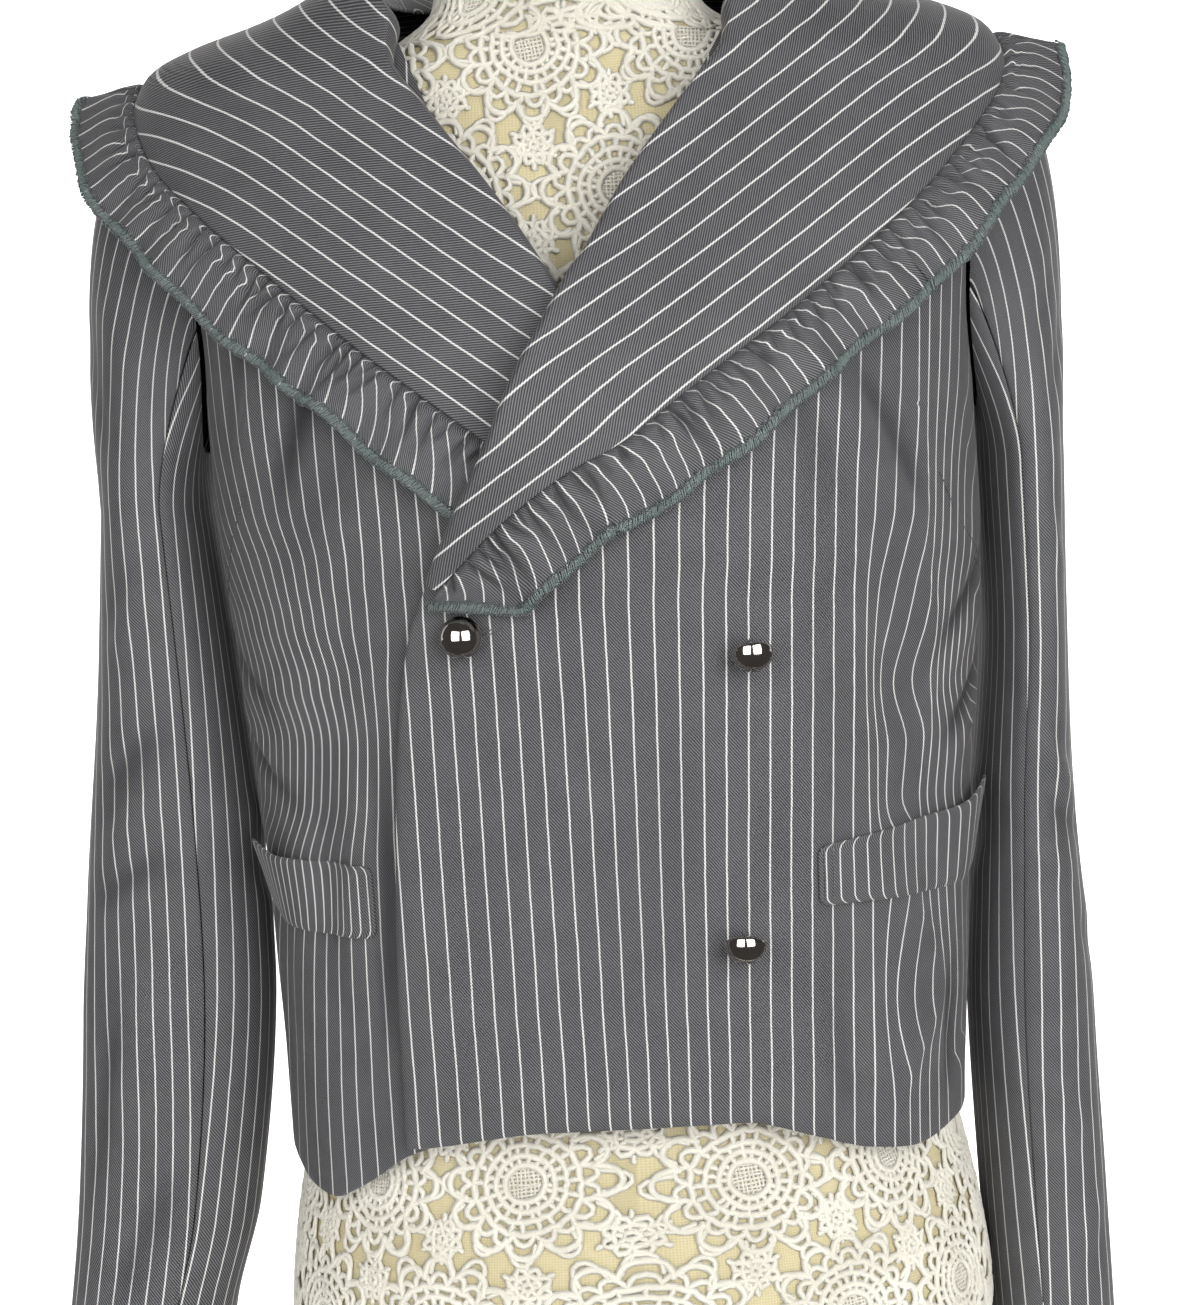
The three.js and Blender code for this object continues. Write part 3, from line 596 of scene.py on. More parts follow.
# ---- finishes ----
class Graph:
    """Short calls for building a node tree."""

    def __init__(self, tree):
        self.tree = tree
        tree.nodes.clear()

    def add(self, kind, inputs=None, **settings):
        node = self.tree.nodes.new(kind)
        for key, value in settings.items():
            setattr(node, key, value)
        self.feed_all(node, inputs or {})
        return node

    def made(self, kind, inputs=None, **settings):
        """The first output of a new node."""
        return self.add(kind, inputs, **settings).outputs[0]

    def feed(self, socket, value):
        if isinstance(value, bpy.types.NodeSocket):
            self.tree.links.new(value, socket)
        else:
            socket.default_value = value

    def feed_all(self, node, inputs):
        for key, value in inputs.items():
            self.feed(node.inputs[key], value)

    def math(self, operation, *values):
        node = self.add("ShaderNodeMath", operation=operation)
        for i, value in enumerate(values):
            self.feed(node.inputs[i], value)
        return node.outputs[0]

    def ramp(self, value, low, high, start=0.0, end=1.0):
        """A smooth step of a value from one number to another."""
        inputs = {"Value": value, "From Min": low, "From Max": high, "To Min": start, "To Max": end}
        return self.add("ShaderNodeMapRange", inputs, interpolation_type="SMOOTHSTEP").outputs["Result"]

    def blend(self, factor, first, second):
        node = self.add("ShaderNodeMix", data_type="RGBA")
        self.feed(node.inputs[0], factor)
        self.feed(node.inputs[6], first)
        self.feed(node.inputs[7], second)
        return node.outputs[2]

    def noise(self, vector, scale, detail=2.0, roughness=0.5):
        inputs = {"Vector": vector, "Scale": scale, "Detail": detail, "Roughness": roughness}
        return self.made("ShaderNodeTexNoise", inputs)

    def stretch(self, vector, scale, degrees=0.0):
        """A place with its axes turned and scaled, which draws out a noise read there."""
        inputs = {"Vector": vector, "Rotation": (0, 0, math.radians(degrees)), "Scale": scale}
        return self.made("ShaderNodeMapping", inputs)

    def bump(self, height, strength, depth):
        """A normal from a height from 0 to 1, which is depth millimetres."""
        inputs = {"Strength": strength, "Distance": depth * MM, "Height": height}
        return self.made("ShaderNodeBump", inputs)

    def mark(self, key):
        """A value that the mesh carries, or 0 where it has none."""
        return self.add("ShaderNodeAttribute", attribute_name=key).outputs["Fac"]

    def ribs(self, u, v, angle, pitch):
        """Rounded ribs from 0 to 1, at an angle in degrees to the u axis and a pitch in the units of u."""
        turn = math.radians(angle)
        across = self.math("MULTIPLY", u, -math.sin(turn) / pitch)
        phase = self.math("MULTIPLY_ADD", v, math.cos(turn) / pitch, across)
        wave = self.math("SINE", self.math("MULTIPLY", phase, 2 * math.pi))
        return self.math("MULTIPLY_ADD", wave, 0.5, 0.5)


def colour(values):
    return (*values, 1.0)


def new_finish(name):
    """A material with its shader node joined to the output."""
    material = bpy.data.materials.new(name)
    material.use_nodes = True
    graph = Graph(material.node_tree)
    shader = graph.add("ShaderNodeBsdfPrincipled")
    out = graph.add("ShaderNodeOutputMaterial")
    graph.tree.links.new(shader.outputs[0], out.inputs[0])
    return material, graph, shader


def cloth_place(graph):
    """The cloth's own coordinates in millimetres: u across the stripes and v along them."""
    uv = graph.made("ShaderNodeUVMap", uv_map="cloth")
    parts = graph.add("ShaderNodeSeparateXYZ", {"Vector": uv})
    u = graph.math("MULTIPLY", parts.outputs[0], 1 / MM)
    v = graph.math("MULTIPLY", parts.outputs[1], 1 / MM)
    flat = graph.made("ShaderNodeCombineXYZ", {"X": u, "Y": v})
    return u, v, flat


def object_place(graph):
    return graph.add("ShaderNodeTexCoord").outputs["Object"]


# The ribs of the twill run at this angle to level, in degrees.
TWILL_ANGLE = -51
# Crowded cloth narrows its stripes by less than it narrows the cloth, and never to less than this share.
LEAST_CROWDING = 0.3
CROWDING_POWER = 0.7


def stripe_mask(graph, cloth, u, rib):
    """1 on a stripe and 0 beside it. Stripes follow the cloth's marks, and the ribs cut their edges."""
    drawn = graph.math("MULTIPLY_ADD", graph.mark("stripe_shift"), 1 / MM, u)
    crowding = graph.math("MAXIMUM", graph.math("ADD", graph.mark("crowding"), 1.0), LEAST_CROWDING)
    crowding = graph.math("POWER", crowding, CROWDING_POWER)
    place = graph.math("FRACT", graph.math("MULTIPLY", drawn, MM / cloth.stripe_pitch))
    off = graph.math("ABSOLUTE", graph.math("SUBTRACT", place, 0.5))
    off = graph.math("MULTIPLY", off, cloth.stripe_pitch / MM)
    edge = graph.math("MULTIPLY_ADD", rib, 0.14, cloth.stripe_width / MM / 2 - 0.10)
    off = graph.math("DIVIDE", off, crowding)
    return graph.ramp(graph.math("SUBTRACT", off, edge), -0.12, 0.12, 1.0, 0.0)


def suiting_finish(cloth):
    """Twill suiting with a fine rope-like stripe."""
    material, graph, shader = new_finish("pinstriped_twill")
    u, v, flat = cloth_place(graph)
    # The yarns wander a little, so neither the ribs nor the stripes are dead straight.
    wander = graph.math("MULTIPLY_ADD", graph.noise(flat, 0.09), 0.5, -0.25)
    u = graph.math("ADD", u, wander)
    rib = graph.ribs(u, v, TWILL_ANGLE, cloth.rib_pitch / MM)
    yarn = graph.noise(graph.stretch(flat, (0.5, 2.2, 1.0), 50), 1.0, 3.0, 0.7)
    mottle = graph.noise(flat, 0.045, 3.0)
    stripe = stripe_mask(graph, cloth, u, rib)
    # The ribs' tops are lighter and the valleys between them darker: partly the twill's own yarn pattern,
    # partly painted shade in the valleys.
    dark, light = colour(cloth.valley_yarn_and_shade), colour(cloth.rib_colour)
    weight = graph.math("MULTIPLY_ADD", yarn, 0.8, graph.math("MULTIPLY_ADD", rib, 0.9, -0.45))
    weight = graph.math("MULTIPLY_ADD", graph.math("SUBTRACT", mottle, 0.5), 0.35, weight)
    ground = graph.blend(graph.ramp(weight, 0.05, 0.85), dark, light)
    chalk = graph.blend(graph.ramp(rib, 0.0, 0.7), colour(cloth.stripe_shade), colour(cloth.stripe_colour))
    # Painted shade: in the hollows of creases and puckers the cloth is darkened towards the colour between
    # the ribs.
    deep = graph.math("MULTIPLY", graph.mark("hollow"), cloth.hollow_shade)
    height = graph.math("MULTIPLY_ADD", stripe, 0.5, rib)
    height = graph.math("MULTIPLY_ADD", yarn, 0.5, height)
    graph.feed_all(shader, {
        "Base Color": graph.blend(deep, graph.blend(stripe, ground, chalk), dark),
        "Normal": graph.bump(height, 0.55, 0.12),
        "Roughness": graph.ramp(rib, 0.0, 1.0, 0.78, 0.62),
        "Specular IOR Level": 0.35,
        "Sheen Weight": 0.08,
        "Sheen Roughness": 0.45,
        "Sheen Tint": (0.95, 0.9, 0.88, 1),
    })
    return material


def thread_finish(name, base, shade):
    """Twisted sewing thread."""
    material, graph, shader = new_finish(name)
    fleck = graph.noise(object_place(graph), 900.0, 3.0, 0.6)
    graph.feed_all(shader, {
        "Base Color": graph.blend(graph.ramp(fleck, 0.3, 0.7), colour(shade), colour(base)),
        "Normal": graph.bump(fleck, 0.5, 0.15),
        "Roughness": 0.6,
        "Sheen Weight": 0.25,
    })
    return material


def linen_finish(form):
    """The plain woven cover of the dress form."""
    material, graph, shader = new_finish("plain_linen")
    u, v, flat = cloth_place(graph)
    warp = graph.ribs(u, v, 90, 1.1)
    weft = graph.ribs(u, v, 0, 1.25)
    slub = graph.noise(graph.stretch(flat, (0.35, 1.6, 1.0)), 1.0, 3.0, 0.6)
    weave = graph.math("ADD", graph.math("MULTIPLY", warp, 0.5), graph.math("MULTIPLY", weft, 0.5))
    tone = graph.math("MULTIPLY_ADD", slub, 0.7, graph.math("MULTIPLY_ADD", weave, 0.6, -0.2))
    broad = graph.noise(flat, 0.02, 2.0)
    tone = graph.math("MULTIPLY_ADD", graph.math("SUBTRACT", broad, 0.5), 0.6, tone)
    linen = graph.blend(graph.ramp(tone, 0.1, 0.9), colour(form.linen_shade), colour(form.linen_colour))
    graph.feed_all(shader, {
        "Base Color": linen,
        "Normal": graph.bump(weave, 0.5, 0.2),
        "Roughness": 0.85,
    })
    return material


def cotton_finish(form):
    """Soft crochet cotton."""
    material, graph, shader = new_finish("crochet_cotton")
    place = object_place(graph)
    fibre = graph.noise(place, 1300.0, 3.0, 0.65)
    patch = graph.noise(place, 30.0, 2.0)
    tone = graph.math("MULTIPLY_ADD", patch, 0.6, graph.math("MULTIPLY", fibre, 0.6))
    cotton = graph.blend(graph.ramp(tone, 0.3, 0.8), colour(form.cotton_shade), colour(form.cotton_colour))
    graph.feed_all(shader, {
        "Base Color": cotton,
        "Normal": graph.bump(fibre, 0.7, 0.35),
        "Roughness": 0.9,
        "Sheen Weight": 0.35,
    })
    return material


def metal_finish(buttons):
    """Polished dark metal with faint handling marks."""
    material, graph, shader = new_finish("polished_gunmetal")
    place = object_place(graph)
    cloudy = graph.noise(place, 90.0, 3.0)
    scratch = graph.noise(graph.stretch(place, (1.0, 1.0, 12.0)), 260.0, 4.0, 0.7)
    worn, clean = colour(buttons.metal_shade), colour(buttons.metal_colour)
    graph.feed_all(shader, {
        "Base Color": graph.blend(graph.ramp(cloudy, 0.3, 0.7), worn, clean),
        "Roughness": graph.ramp(scratch, 0.4, 0.8, 0.05, 0.14),
        "Metallic": 1.0,
    })
    return material


def backdrop_finish(stage):
    """A pale wall that glows a little."""
    material, graph, shader = new_finish("pale_backdrop")
    shade = graph.noise(object_place(graph), 3.0, 2.0)
    graph.feed_all(shader, {
        "Base Color": graph.blend(shade, colour((0.9, 0.9, 0.9)), colour((0.94, 0.94, 0.94))),
        "Roughness": 0.9,
        "Emission Color": (1, 1, 1, 1),
        "Emission Strength": stage.backdrop_glow,
    })
    return material


def finish(key, maker, settings):
    """The finish of that name, made once."""
    found = bpy.data.materials.get(key)
    return found if found else maker(settings)


def suiting():
    """The cloth of every panel."""
    return finish("pinstriped_twill", suiting_finish, bpy.context.scene.blazer_cloth)


def thread_of(key, kind):
    """The finish of a kind of thread, from that kind's two colours in the settings."""

    def maker(sewing):
        return thread_finish(key, getattr(sewing, kind + "_colour"), getattr(sewing, kind + "_shade"))

    return finish(key, maker, bpy.context.scene.blazer_sewing)


def edge_thread():
    return thread_of("overlock_thread", "edge")


def loop_thread():
    return thread_of("loop_thread", "loop")


def sewing_thread():
    return thread_of("sewing_thread", "thread")


# ---- body panels ----
TOP_LEVEL = 0.99


def armhole_cut(z, reach):
    """How many degrees the armhole takes off a panel's side edge at a height."""
    half = (SHOULDER_TIP - UNDERARM) / 2
    away = np.minimum(1, np.abs(z - UNDERARM - half) / half)
    return reach * (1 - away**ARMHOLE_ROUNDNESS) ** (1 / ARMHOLE_ROUNDNESS)


def body_grid(first_angle, last_angle, hem, lift, level, share):
    """A body panel from the hem to the neck point, between two edges given as angles at each height."""
    even = mix(LOWEST_HEM, NECK_POINT, level)[:, None]
    angle = mix(first_angle(even), last_angle(even), share[None, :])
    z = even + (hem(angle) - LOWEST_HEM) * (1 - level[:, None]) ** 3
    return BLAZER.point(angle, z, lift(angle, z)), angle, z


def turn_under(grid, turned, sides, reach, depth):
    """Rolls the named edges of a grid softly inwards, as a turned and pressed edge does."""
    along = arc_lengths(grid, 1)
    up = arc_lengths(grid, 0)
    gaps = {"first": along, "last": along[:, -1:] - along, "low": up, "high": up[-1:] - up}
    drop = sum(depth * bell(gaps[side] / reach) for side in sides)
    return grid - grid_normals(grid) * (-1 if turned else 1) * drop[..., None]


# Towards the side seam the cloth is drawn in, so the stripes lie closer. Each table gives the distance from
# the middle at which that starts, at some heights. On the left front the stripes step over a fold and then
# close up by slope. On the right one they have moved by most when they are DRAWN_WIDTH past the start.
DRAWN_WIDTH = 70
LEFT_REACH = 26
RIGHT_REACH = 82
# At this height the stripes of the fronts lean neither way.
UPRIGHT_HEIGHT = 300
# The stripes of a front are placed by the width seen from the front times EVEN_SEEN, but by no less than
# LEAST_SEEN of the cloth's own width.
LEAST_SEEN = 0.35
EVEN_SEEN = 1.025
LEFT_DRAWN = table(
    "z fold slope start",
    (150, 0, 0.8, 132), (190, 0, 0.8, 132), (240, 9, 1.4, 156), (300, 0, 1.1, 143), (333, 15, 1.1, 148),
    (357, 13, 1.2, 152), (385, 20, 1.9, 157), (410, 13, 1.8, 159), (440, 6, 1.25, 156), (465, 1, 1.4, 156),
    (520, 0, 0.8, 152), (700, 0, 0.4, 152),
)
RIGHT_DRAWN = table(
    "z start most power",
    (150, 108, 20, 1.9), (202, 108, 27, 1.9), (258, 108, 36, 1.6), (316, 107, 62, 1.55),
    (346, 105, 90, 1.32), (373, 102, 91, 1.28), (398, 100, 70, 1.38), (428, 107, 66, 1.8),
    (455, 108, 46, 1.65), (482, 108, 30, 2.3), (520, 108, 20, 2.2), (700, 108, 10, 2.0),
)


def left_stripe_shift(x, z):
    """The stripes stand upright, lean a little near the edge, then close up at a fold and at the side."""
    fold, slope, start = (curve_through(LEFT_DRAWN, "z", key)(z) for key in ("fold", "slope", "start"))
    lean = -0.05 * smooth((x + 20) / 90) * (z - UPRIGHT_HEIGHT)
    past = np.clip(x - start, 0, LEFT_REACH)
    return lean + fold * smooth((x - 120) / 15) + slope * past * smooth(past / 5)


def right_stripe_shift(x, z):
    """The closing draws the stripes towards the button, so they fan out above and below the waist."""
    start, most, power = (curve_through(RIGHT_DRAWN, "z", key)(z) for key in ("start", "most", "power"))
    drawn = most * (np.clip(x - start, 0, RIGHT_REACH) / DRAWN_WIDTH) ** power
    above = z - UPRIGHT_HEIGHT
    return 0.03 * smooth((x - 60) / 60) * above * smooth(above / 60) + drawn


def stripe_places(grid, side, edge):
    """Places across a front, even as seen from the front, which follow the cloth where it turns away."""
    along = np.linalg.norm(np.diff(grid, axis=1), axis=-1)
    level = side * np.diff(grid[..., 0], axis=1) * EVEN_SEEN
    return edge + np.pad(np.cumsum(np.maximum(level, LEAST_SEEN * along), axis=1), [(0, 0), (1, 0)])


def front(name, edge_rows, hem_rows, side, lift, stripe_shift, edge_lift):
    """One front. Below the button its free edge stands off by edge_lift."""
    cloth = bpy.context.scene.blazer_cloth
    edge = curve_through(edge_rows, "z", "x")
    hem = curve_through(hem_rows, "angle", "z")

    def last(z):
        return 90 - SEAM_GAP - armhole_cut(z, FRONT_ARMHOLE)

    def first(z):
        return np.minimum(BLAZER.angle_at(edge(z), z), last(z) - 3)

    level = graded(0, TOP_LEVEL, cloth.rows, 0.003)
    share = graded(0, 1, cloth.columns, 0.006)
    grid, angle, z = body_grid(lambda z: side * first(z), lambda z: side * last(z), hem, lift, level, share)
    loose = edge_lift * bell(arc_lengths(grid, 1) / 16) * smooth((450 - z) / 30) * smooth((z - 150) / 40)
    grid = grid + grid_normals(grid) * (side * loose)[..., None]
    grid = turn_under(grid, side < 0, ("first", "low"), reach=2.2, depth=0.8)
    across = edge(z[:, :1]) + arc_lengths(grid, 1)
    drawn = stripe_places(grid, side, edge(z[:, :1]))
    drawn = drawn + stripe_shift(drawn, z)
    crowding = np.gradient(drawn, axis=1) / np.gradient(across, axis=1) - 1
    uv = np.stack([side * across, z], axis=-1)
    # Painted shade in the troughs of the creases, by which the finish darkens the cloth.
    hollow = hollows(creases(BODY_CREASES, angle, z, DEGREE_ON_BODY))
    piece = cloth_wall(name, grid, cloth.thickness / MM, side < 0, uv, suiting(),
                       stripe_shift=side * (drawn - across) * MM, crowding=crowding, hollow=hollow)
    settle(piece, "suiting", name)
    return piece


def back():
    """The back, in one piece."""
    cloth = bpy.context.scene.blazer_cloth
    hem = curve_through(BACK_HEM, "angle", "z")

    def first(z):
        return 90 + SEAM_GAP + armhole_cut(z, BACK_ARMHOLE)

    level = graded(0, TOP_LEVEL, cloth.rows, 0.003)
    share = graded(0, 1, cloth.columns * 3 // 2, 0.004)
    grid, angle, z = body_grid(first, lambda z: 360 - first(z), hem, no_lift, level, share)
    grid = turn_under(grid, False, ("low",), reach=3.2, depth=1.1)
    arc = arc_lengths(grid, 1)
    uv = np.stack([arc - arc[:, -1:] / 2, z], axis=-1)
    # Painted shade in the troughs of the creases, by which the finish darkens the cloth.
    hollow = hollows(creases(BODY_CREASES, angle, z, DEGREE_ON_BODY))
    piece = cloth_wall("back", grid, cloth.thickness / MM, False, uv, suiting(), hollow=hollow)
    settle(piece, "suiting", "back")
    return piece


# ---- sleeves ----
def armhole_point(turn):
    """The point of the armhole at a turn, counted from the shoulder tip."""
    middle = (SHOULDER_TIP + UNDERARM) / 2
    z = middle + (SHOULDER_TIP - middle) * np.cos(np.radians(turn))
    to_front = np.sin(np.radians(turn)) > 0
    cut = np.where(to_front, armhole_cut(z, FRONT_ARMHOLE), armhole_cut(z, BACK_ARMHOLE))
    return BLAZER.point(np.where(to_front, 90 - cut, 90 + cut), z)


def sleeve_grid(rows, crease_rows, row, turn):
    """A sleeve's outer face without and with its creases: row 0 to 1 is the cap and 1 to 2 the arm."""
    columns = {name: curve_through(rows, "z", name) for name in ("x", "y", "half", "depth")}
    c, s = np.cos(np.radians(turn))[None, :], np.sin(np.radians(turn))[None, :]

    def arm_at(z):
        over = columns["half"](z) * signed_power(c, SLEEVE_SQUARENESS)
        forward = columns["depth"](z) * signed_power(s, SLEEVE_SQUARENESS)
        return points(columns["x"](z) + over, columns["y"](z) - forward, z + 0 * c)

    t = np.minimum(row, 1)[:, None]
    top = (1 + c) / 2
    start = armhole_point(turn)[None, :, :].copy()
    start[..., 0] += 1.6
    start[..., 2] -= 2 * (1 - top)
    end = arm_at(np.full((1, 1), float(ARM_TOP)))
    x = hermite(t, start[..., 0], mix(6, 170, top**3), end[..., 0], 0)
    y = hermite(t, start[..., 1], -8 * s * np.abs(s), end[..., 1], 0)
    z = hermite(t, start[..., 2], mix(-26, -10, top), end[..., 2], -mix(26, 180, top))
    arm = arm_at(mix(ARM_TOP, CUFF, np.maximum(row, 1) - 1)[:, None])
    grid = np.where((row > 1)[:, None, None], arm, points(x, y, z))
    ripple = creases(crease_rows, turn[None, :] + 0 * t, grid[..., 2], DEGREE_ON_SLEEVE)
    ripple = SLEEVE_CREASE_SHARE * ripple * smooth(row * 4)[:, None]
    # The third value is painted shade in the troughs of the creases.
    return grid, grid + grid_normals(grid) * ripple[..., None], hollows(ripple)


def sleeve_piece(name, rows, crease_rows, from_turn, to_turn, columns, side, closer):
    cloth = bpy.context.scene.blazer_cloth
    row = graded(0.003, 2, cloth.rows, 0.004)
    turn = graded(from_turn, to_turn, columns, 0.006 * (to_turn - from_turn))
    even, grid, hollow = sleeve_grid(rows, crease_rows, row, turn)
    even, grid = even * (side, 1, 1), grid * (side, 1, 1)
    grid = turn_under(grid, side < 0, ("high",), reach=3.0, depth=0.9)
    grid = turn_under(grid, side < 0, ("first", "last"), reach=1.6, depth=0.6)
    arm_top = int(np.argmin(np.abs(row - 1)))
    down = arc_lengths(even, 0)
    down = down - down[arm_top]
    across = arc_lengths(even, 1)
    middle = (from_turn + to_turn) / 2
    centre = np.array([np.interp(middle, turn, line) for line in across])[:, None]
    u = side * (centre - across)
    uv = np.stack([u, -down], axis=-1)
    # On the cap the stripes keep half of the spread that they have at the top of the arm.
    drawn = closer * np.where((row < 1)[:, None], mix(u, u[arm_top], 0.5), u)
    piece = cloth_wall(name, grid, cloth.thickness / MM, side < 0, uv, suiting(),
                       stripe_shift=(drawn - u) * MM, crowding=closer - 1 + 0 * u, hollow=hollow)
    settle(piece, "suiting", name)
    return piece


# ---- collar and frill ----
COLLAR_MIDDLE = 560
SHOULDER_ANGLE = 84
# The collar's stripes bend from this place along them, over this length.
BEND_FROM = 140
BEND_REACH = 85


def collar_lines(front_rows):
    """The roll line and the outer seam of one half of the collar, as curves of angle and height along it."""
    on_front = [
        {
            "roll_angle": float(BLAZER.angle_at(row["roll_x"], row["roll_z"])),
            "roll_z": row["roll_z"],
            "seam_angle": float(BLAZER.angle_at(row["seam_x"], row["seam_z"])),
            "seam_z": row["seam_z"],
            "stand": row["stand"],
        }
        for row in front_rows
    ]
    rows = on_front + COLLAR_OVER_SHOULDER
    rows = [{**row, "along": i / (len(rows) - 1)} for i, row in enumerate(rows)]
    names = ("roll_angle", "roll_z", "seam_angle", "seam_z", "stand")
    return {name: curve_through(rows, "along", name) for name in names}


def collar_point(lines, along, across, lift, higher=0.0):
    """A point of the collar. across is -1 at the neck seam, 0 at the roll line and 1 at the outer seam."""
    out = np.maximum(0, across)
    roll_angle, roll_z = lines["roll_angle"](along), lines["roll_z"](along)
    angle = mix(roll_angle, lines["seam_angle"](along), out)
    z = mix(roll_z, lines["seam_z"](along), out)
    roll_at = BLAZER.bare(roll_angle, roll_z)
    seam = BLAZER.bare(lines["seam_angle"](along), lines["seam_z"](along))
    width = np.linalg.norm(roll_at - seam, axis=-1)
    roll = ROLL_FULLNESS * bell(out * width / 9) * np.minimum(1, width / 40)
    stand = lines["stand"](along) * np.maximum(0, 1 - out) ** 1.3
    near_sleeve = bell((angle - 92) / 42) * smooth((z - 550) / 60)
    over_sleeve = OVER_SLEEVE * near_sleeve * smooth((out - 0.2) / 0.7)
    base = lift(angle, z) + COLLAR_LIFT + higher + roll + over_sleeve
    rise = BLAZER.normal(roll_angle, roll_z) * stand[..., None]
    over = BLAZER.point(angle, z, base) + rise
    tucked = mix(base + stand, lift(angle, z) + NECK_SEAM_LIFT + higher, -np.minimum(0, across))
    inwards = unit(roll_at - seam) * (NECK_TUCK * np.sin(-np.minimum(0, across) * 2.2))[..., None]
    tuck = BLAZER.point(roll_angle, roll_z, tucked) + inwards
    return np.where((across >= 0)[..., None], over, tuck)


def around_body(angle, z, steps=32):
    """Distance round the body from the middle of the front, negative on the wearer's right."""
    stops = np.linspace(0, 1, steps)
    line = np.stack([BLAZER.bare(angle * stop, z) for stop in stops])
    return np.sign(angle) * np.linalg.norm(np.diff(line, axis=0), axis=-1).sum(axis=0)


def collar_half(name, front_rows, side, lift, stripe_angle, bend):
    """One half of the collar. Its stripes rise by stripe_angle, and bend turns them further along."""
    cloth = bpy.context.scene.blazer_cloth
    lines = collar_lines(front_rows)
    along = graded(0, 1, cloth.collar_rows, 0.002)
    across = np.concatenate([
        [-1, -0.97], np.linspace(-0.8, -0.1, 6), [-0.04, 0, 0.012, 0.028],
        np.linspace(0.05, 0.97, 30), [0.985, 0.995, 1],
    ])
    thickness = cloth.collar_thickness / MM
    a, b = np.meshgrid(along, across, indexing="ij")
    grid = collar_point(lines, a, b, lift, thickness) * (side, 1, 1)
    wave = 0.8 * np.sin(a * 17 + b * 3.1) * smooth(b * 3) * smooth((1.02 - b) * 4)
    grid = grid + grid_normals(grid) * (side * wave)[..., None]
    out = np.maximum(0, b)
    angle = mix(lines["roll_angle"](a), lines["seam_angle"](a), out)
    z = mix(lines["roll_z"](a), lines["seam_z"](a), out)
    # Behind the shoulder the collar lies flat, so its own breadth stands in for the height there.
    breadth = arc_lengths(grid, 1)
    flat_height = z[:, -1:] + breadth[:, -1:] - breadth
    height = mix(z, flat_height, smooth((angle - SHOULDER_ANGLE) / 40))
    place = np.stack([around_body(angle, z), height - COLLAR_MIDDLE], axis=-1)
    turn = math.radians(stripe_angle)
    stripe = np.array([math.cos(turn), math.sin(turn)])
    right = np.array([stripe[1], -stripe[0]])
    v = place @ stripe
    u = place @ right + bend * np.clip(v - BEND_FROM, 0, BEND_REACH) ** 2 / 2 + np.minimum(0, b) * 4
    piece = cloth_wall(name, grid, thickness, side < 0, np.stack([side * u, v], axis=-1), suiting())
    settle(piece, "suiting", name)
    return piece


class FrillFrame:
    """Where a frill leaves the collar: its seam, and the ways outwards, along and up from there."""

    def __init__(self, lines, along, lift):
        step = 0.03
        one = np.ones_like(along)
        self.seam = collar_point(lines, along, one, lift)
        inside = collar_point(lines, along, 0.94 * one, lift)
        before = collar_point(lines, np.maximum(0, along - step), one, lift)
        after = collar_point(lines, np.minimum(1, along + step), one, lift)
        self.along = unit(after - before)
        angle = lines["seam_angle"](along)
        stand_off = BLAZER.normal(angle, lines["seam_z"](along) - 12) + (0, 0, 0.3)
        outwards = unit(self.seam - inside) + stand_off * (FRILL_RISE * bell((angle - 92) / 34))[..., None]
        self.out = unit(outwards - self.along * dot(outwards, self.along))
        self.up = np.cross(self.out, self.along)
        self.length = line_lengths(self.seam)


PUCKER_STEPS = (4.0, 11.0)
PUCKER_COUNT = 160
PUFF_HEIGHT = 4.9


def puckers(length, out, chance):
    """Creases that run out from a gathered seam, from 0 to 1, each with its own slant, reach and depth."""
    total = np.zeros(np.broadcast(length, out).shape)
    away = np.maximum(0, out)
    for at in np.cumsum(chance.uniform(*PUCKER_STEPS, PUCKER_COUNT)):
        slant, reach, deep = chance.uniform(-0.3, 0.4), chance.uniform(9, 27), chance.uniform(0.5, 1.0)
        off = (length - at - slant * away) / (1.0 + 0.085 * away)
        total = total + deep * bell(off) * smooth(1.15 - away / reach)
    return np.minimum(total, 1)


def gathers(length, out, chance):
    """Height of the frill, and its puckers from 0 to 1, which become painted shade: tight puckers at the
    seam, then broad waves at the edge.
    """
    share = np.maximum(0, out) / FRILL_WIDTH
    pucker = puckers(length, out, chance)
    puffed = PUFF_HEIGHT * (1 - np.exp(-np.maximum(0, out) / 2.4)) * (1 - 0.5 * share)
    broad = 1.9 * np.sin(length / 5.6 + 1.6 * np.sin(length / 17)) * share**1.3
    small = 0.8 * np.sin(length / 2.9 + 2 * np.sin(length / 11)) * share * (1 - 0.6 * share)
    return puffed * (1 - 0.98 * pucker) + broad + small, pucker


def frill_surface(frame_at, out, width, folds, seed):
    """A frill's outer face and the painted shade of its puckers. It starts a little under the collar's edge.
    """
    length = frame_at.length[:, None]
    share = np.maximum(0, out) / FRILL_WIDTH
    height, hollow = gathers(length, out, np.random.default_rng(seed))
    height = height * smooth(out / 3 + 0.55) - 0.4 * smooth((4 - out) / 4) - 0.6 * share
    slide = -9.0 * np.exp(-length / 13) * share
    for fold in folds:
        turn = np.tanh((length - fold["at"]) / fold["sharp"])
        fade = bell((length - fold["at"]) / fold["spread"]) * smooth((share - 0.1) / 0.8)
        slide = slide - fold["slide"] * turn * fade
        height = height - fold["height"] * turn * fade * fold["over"] + fold["height"] * fade
    place = frame_at.seam[:, None] + frame_at.out[:, None] * (out * width[:, None] / FRILL_WIDTH)[..., None]
    place = place + frame_at.along[:, None] * slide[..., None] + frame_at.up[:, None] * height[..., None]
    return place, hollow


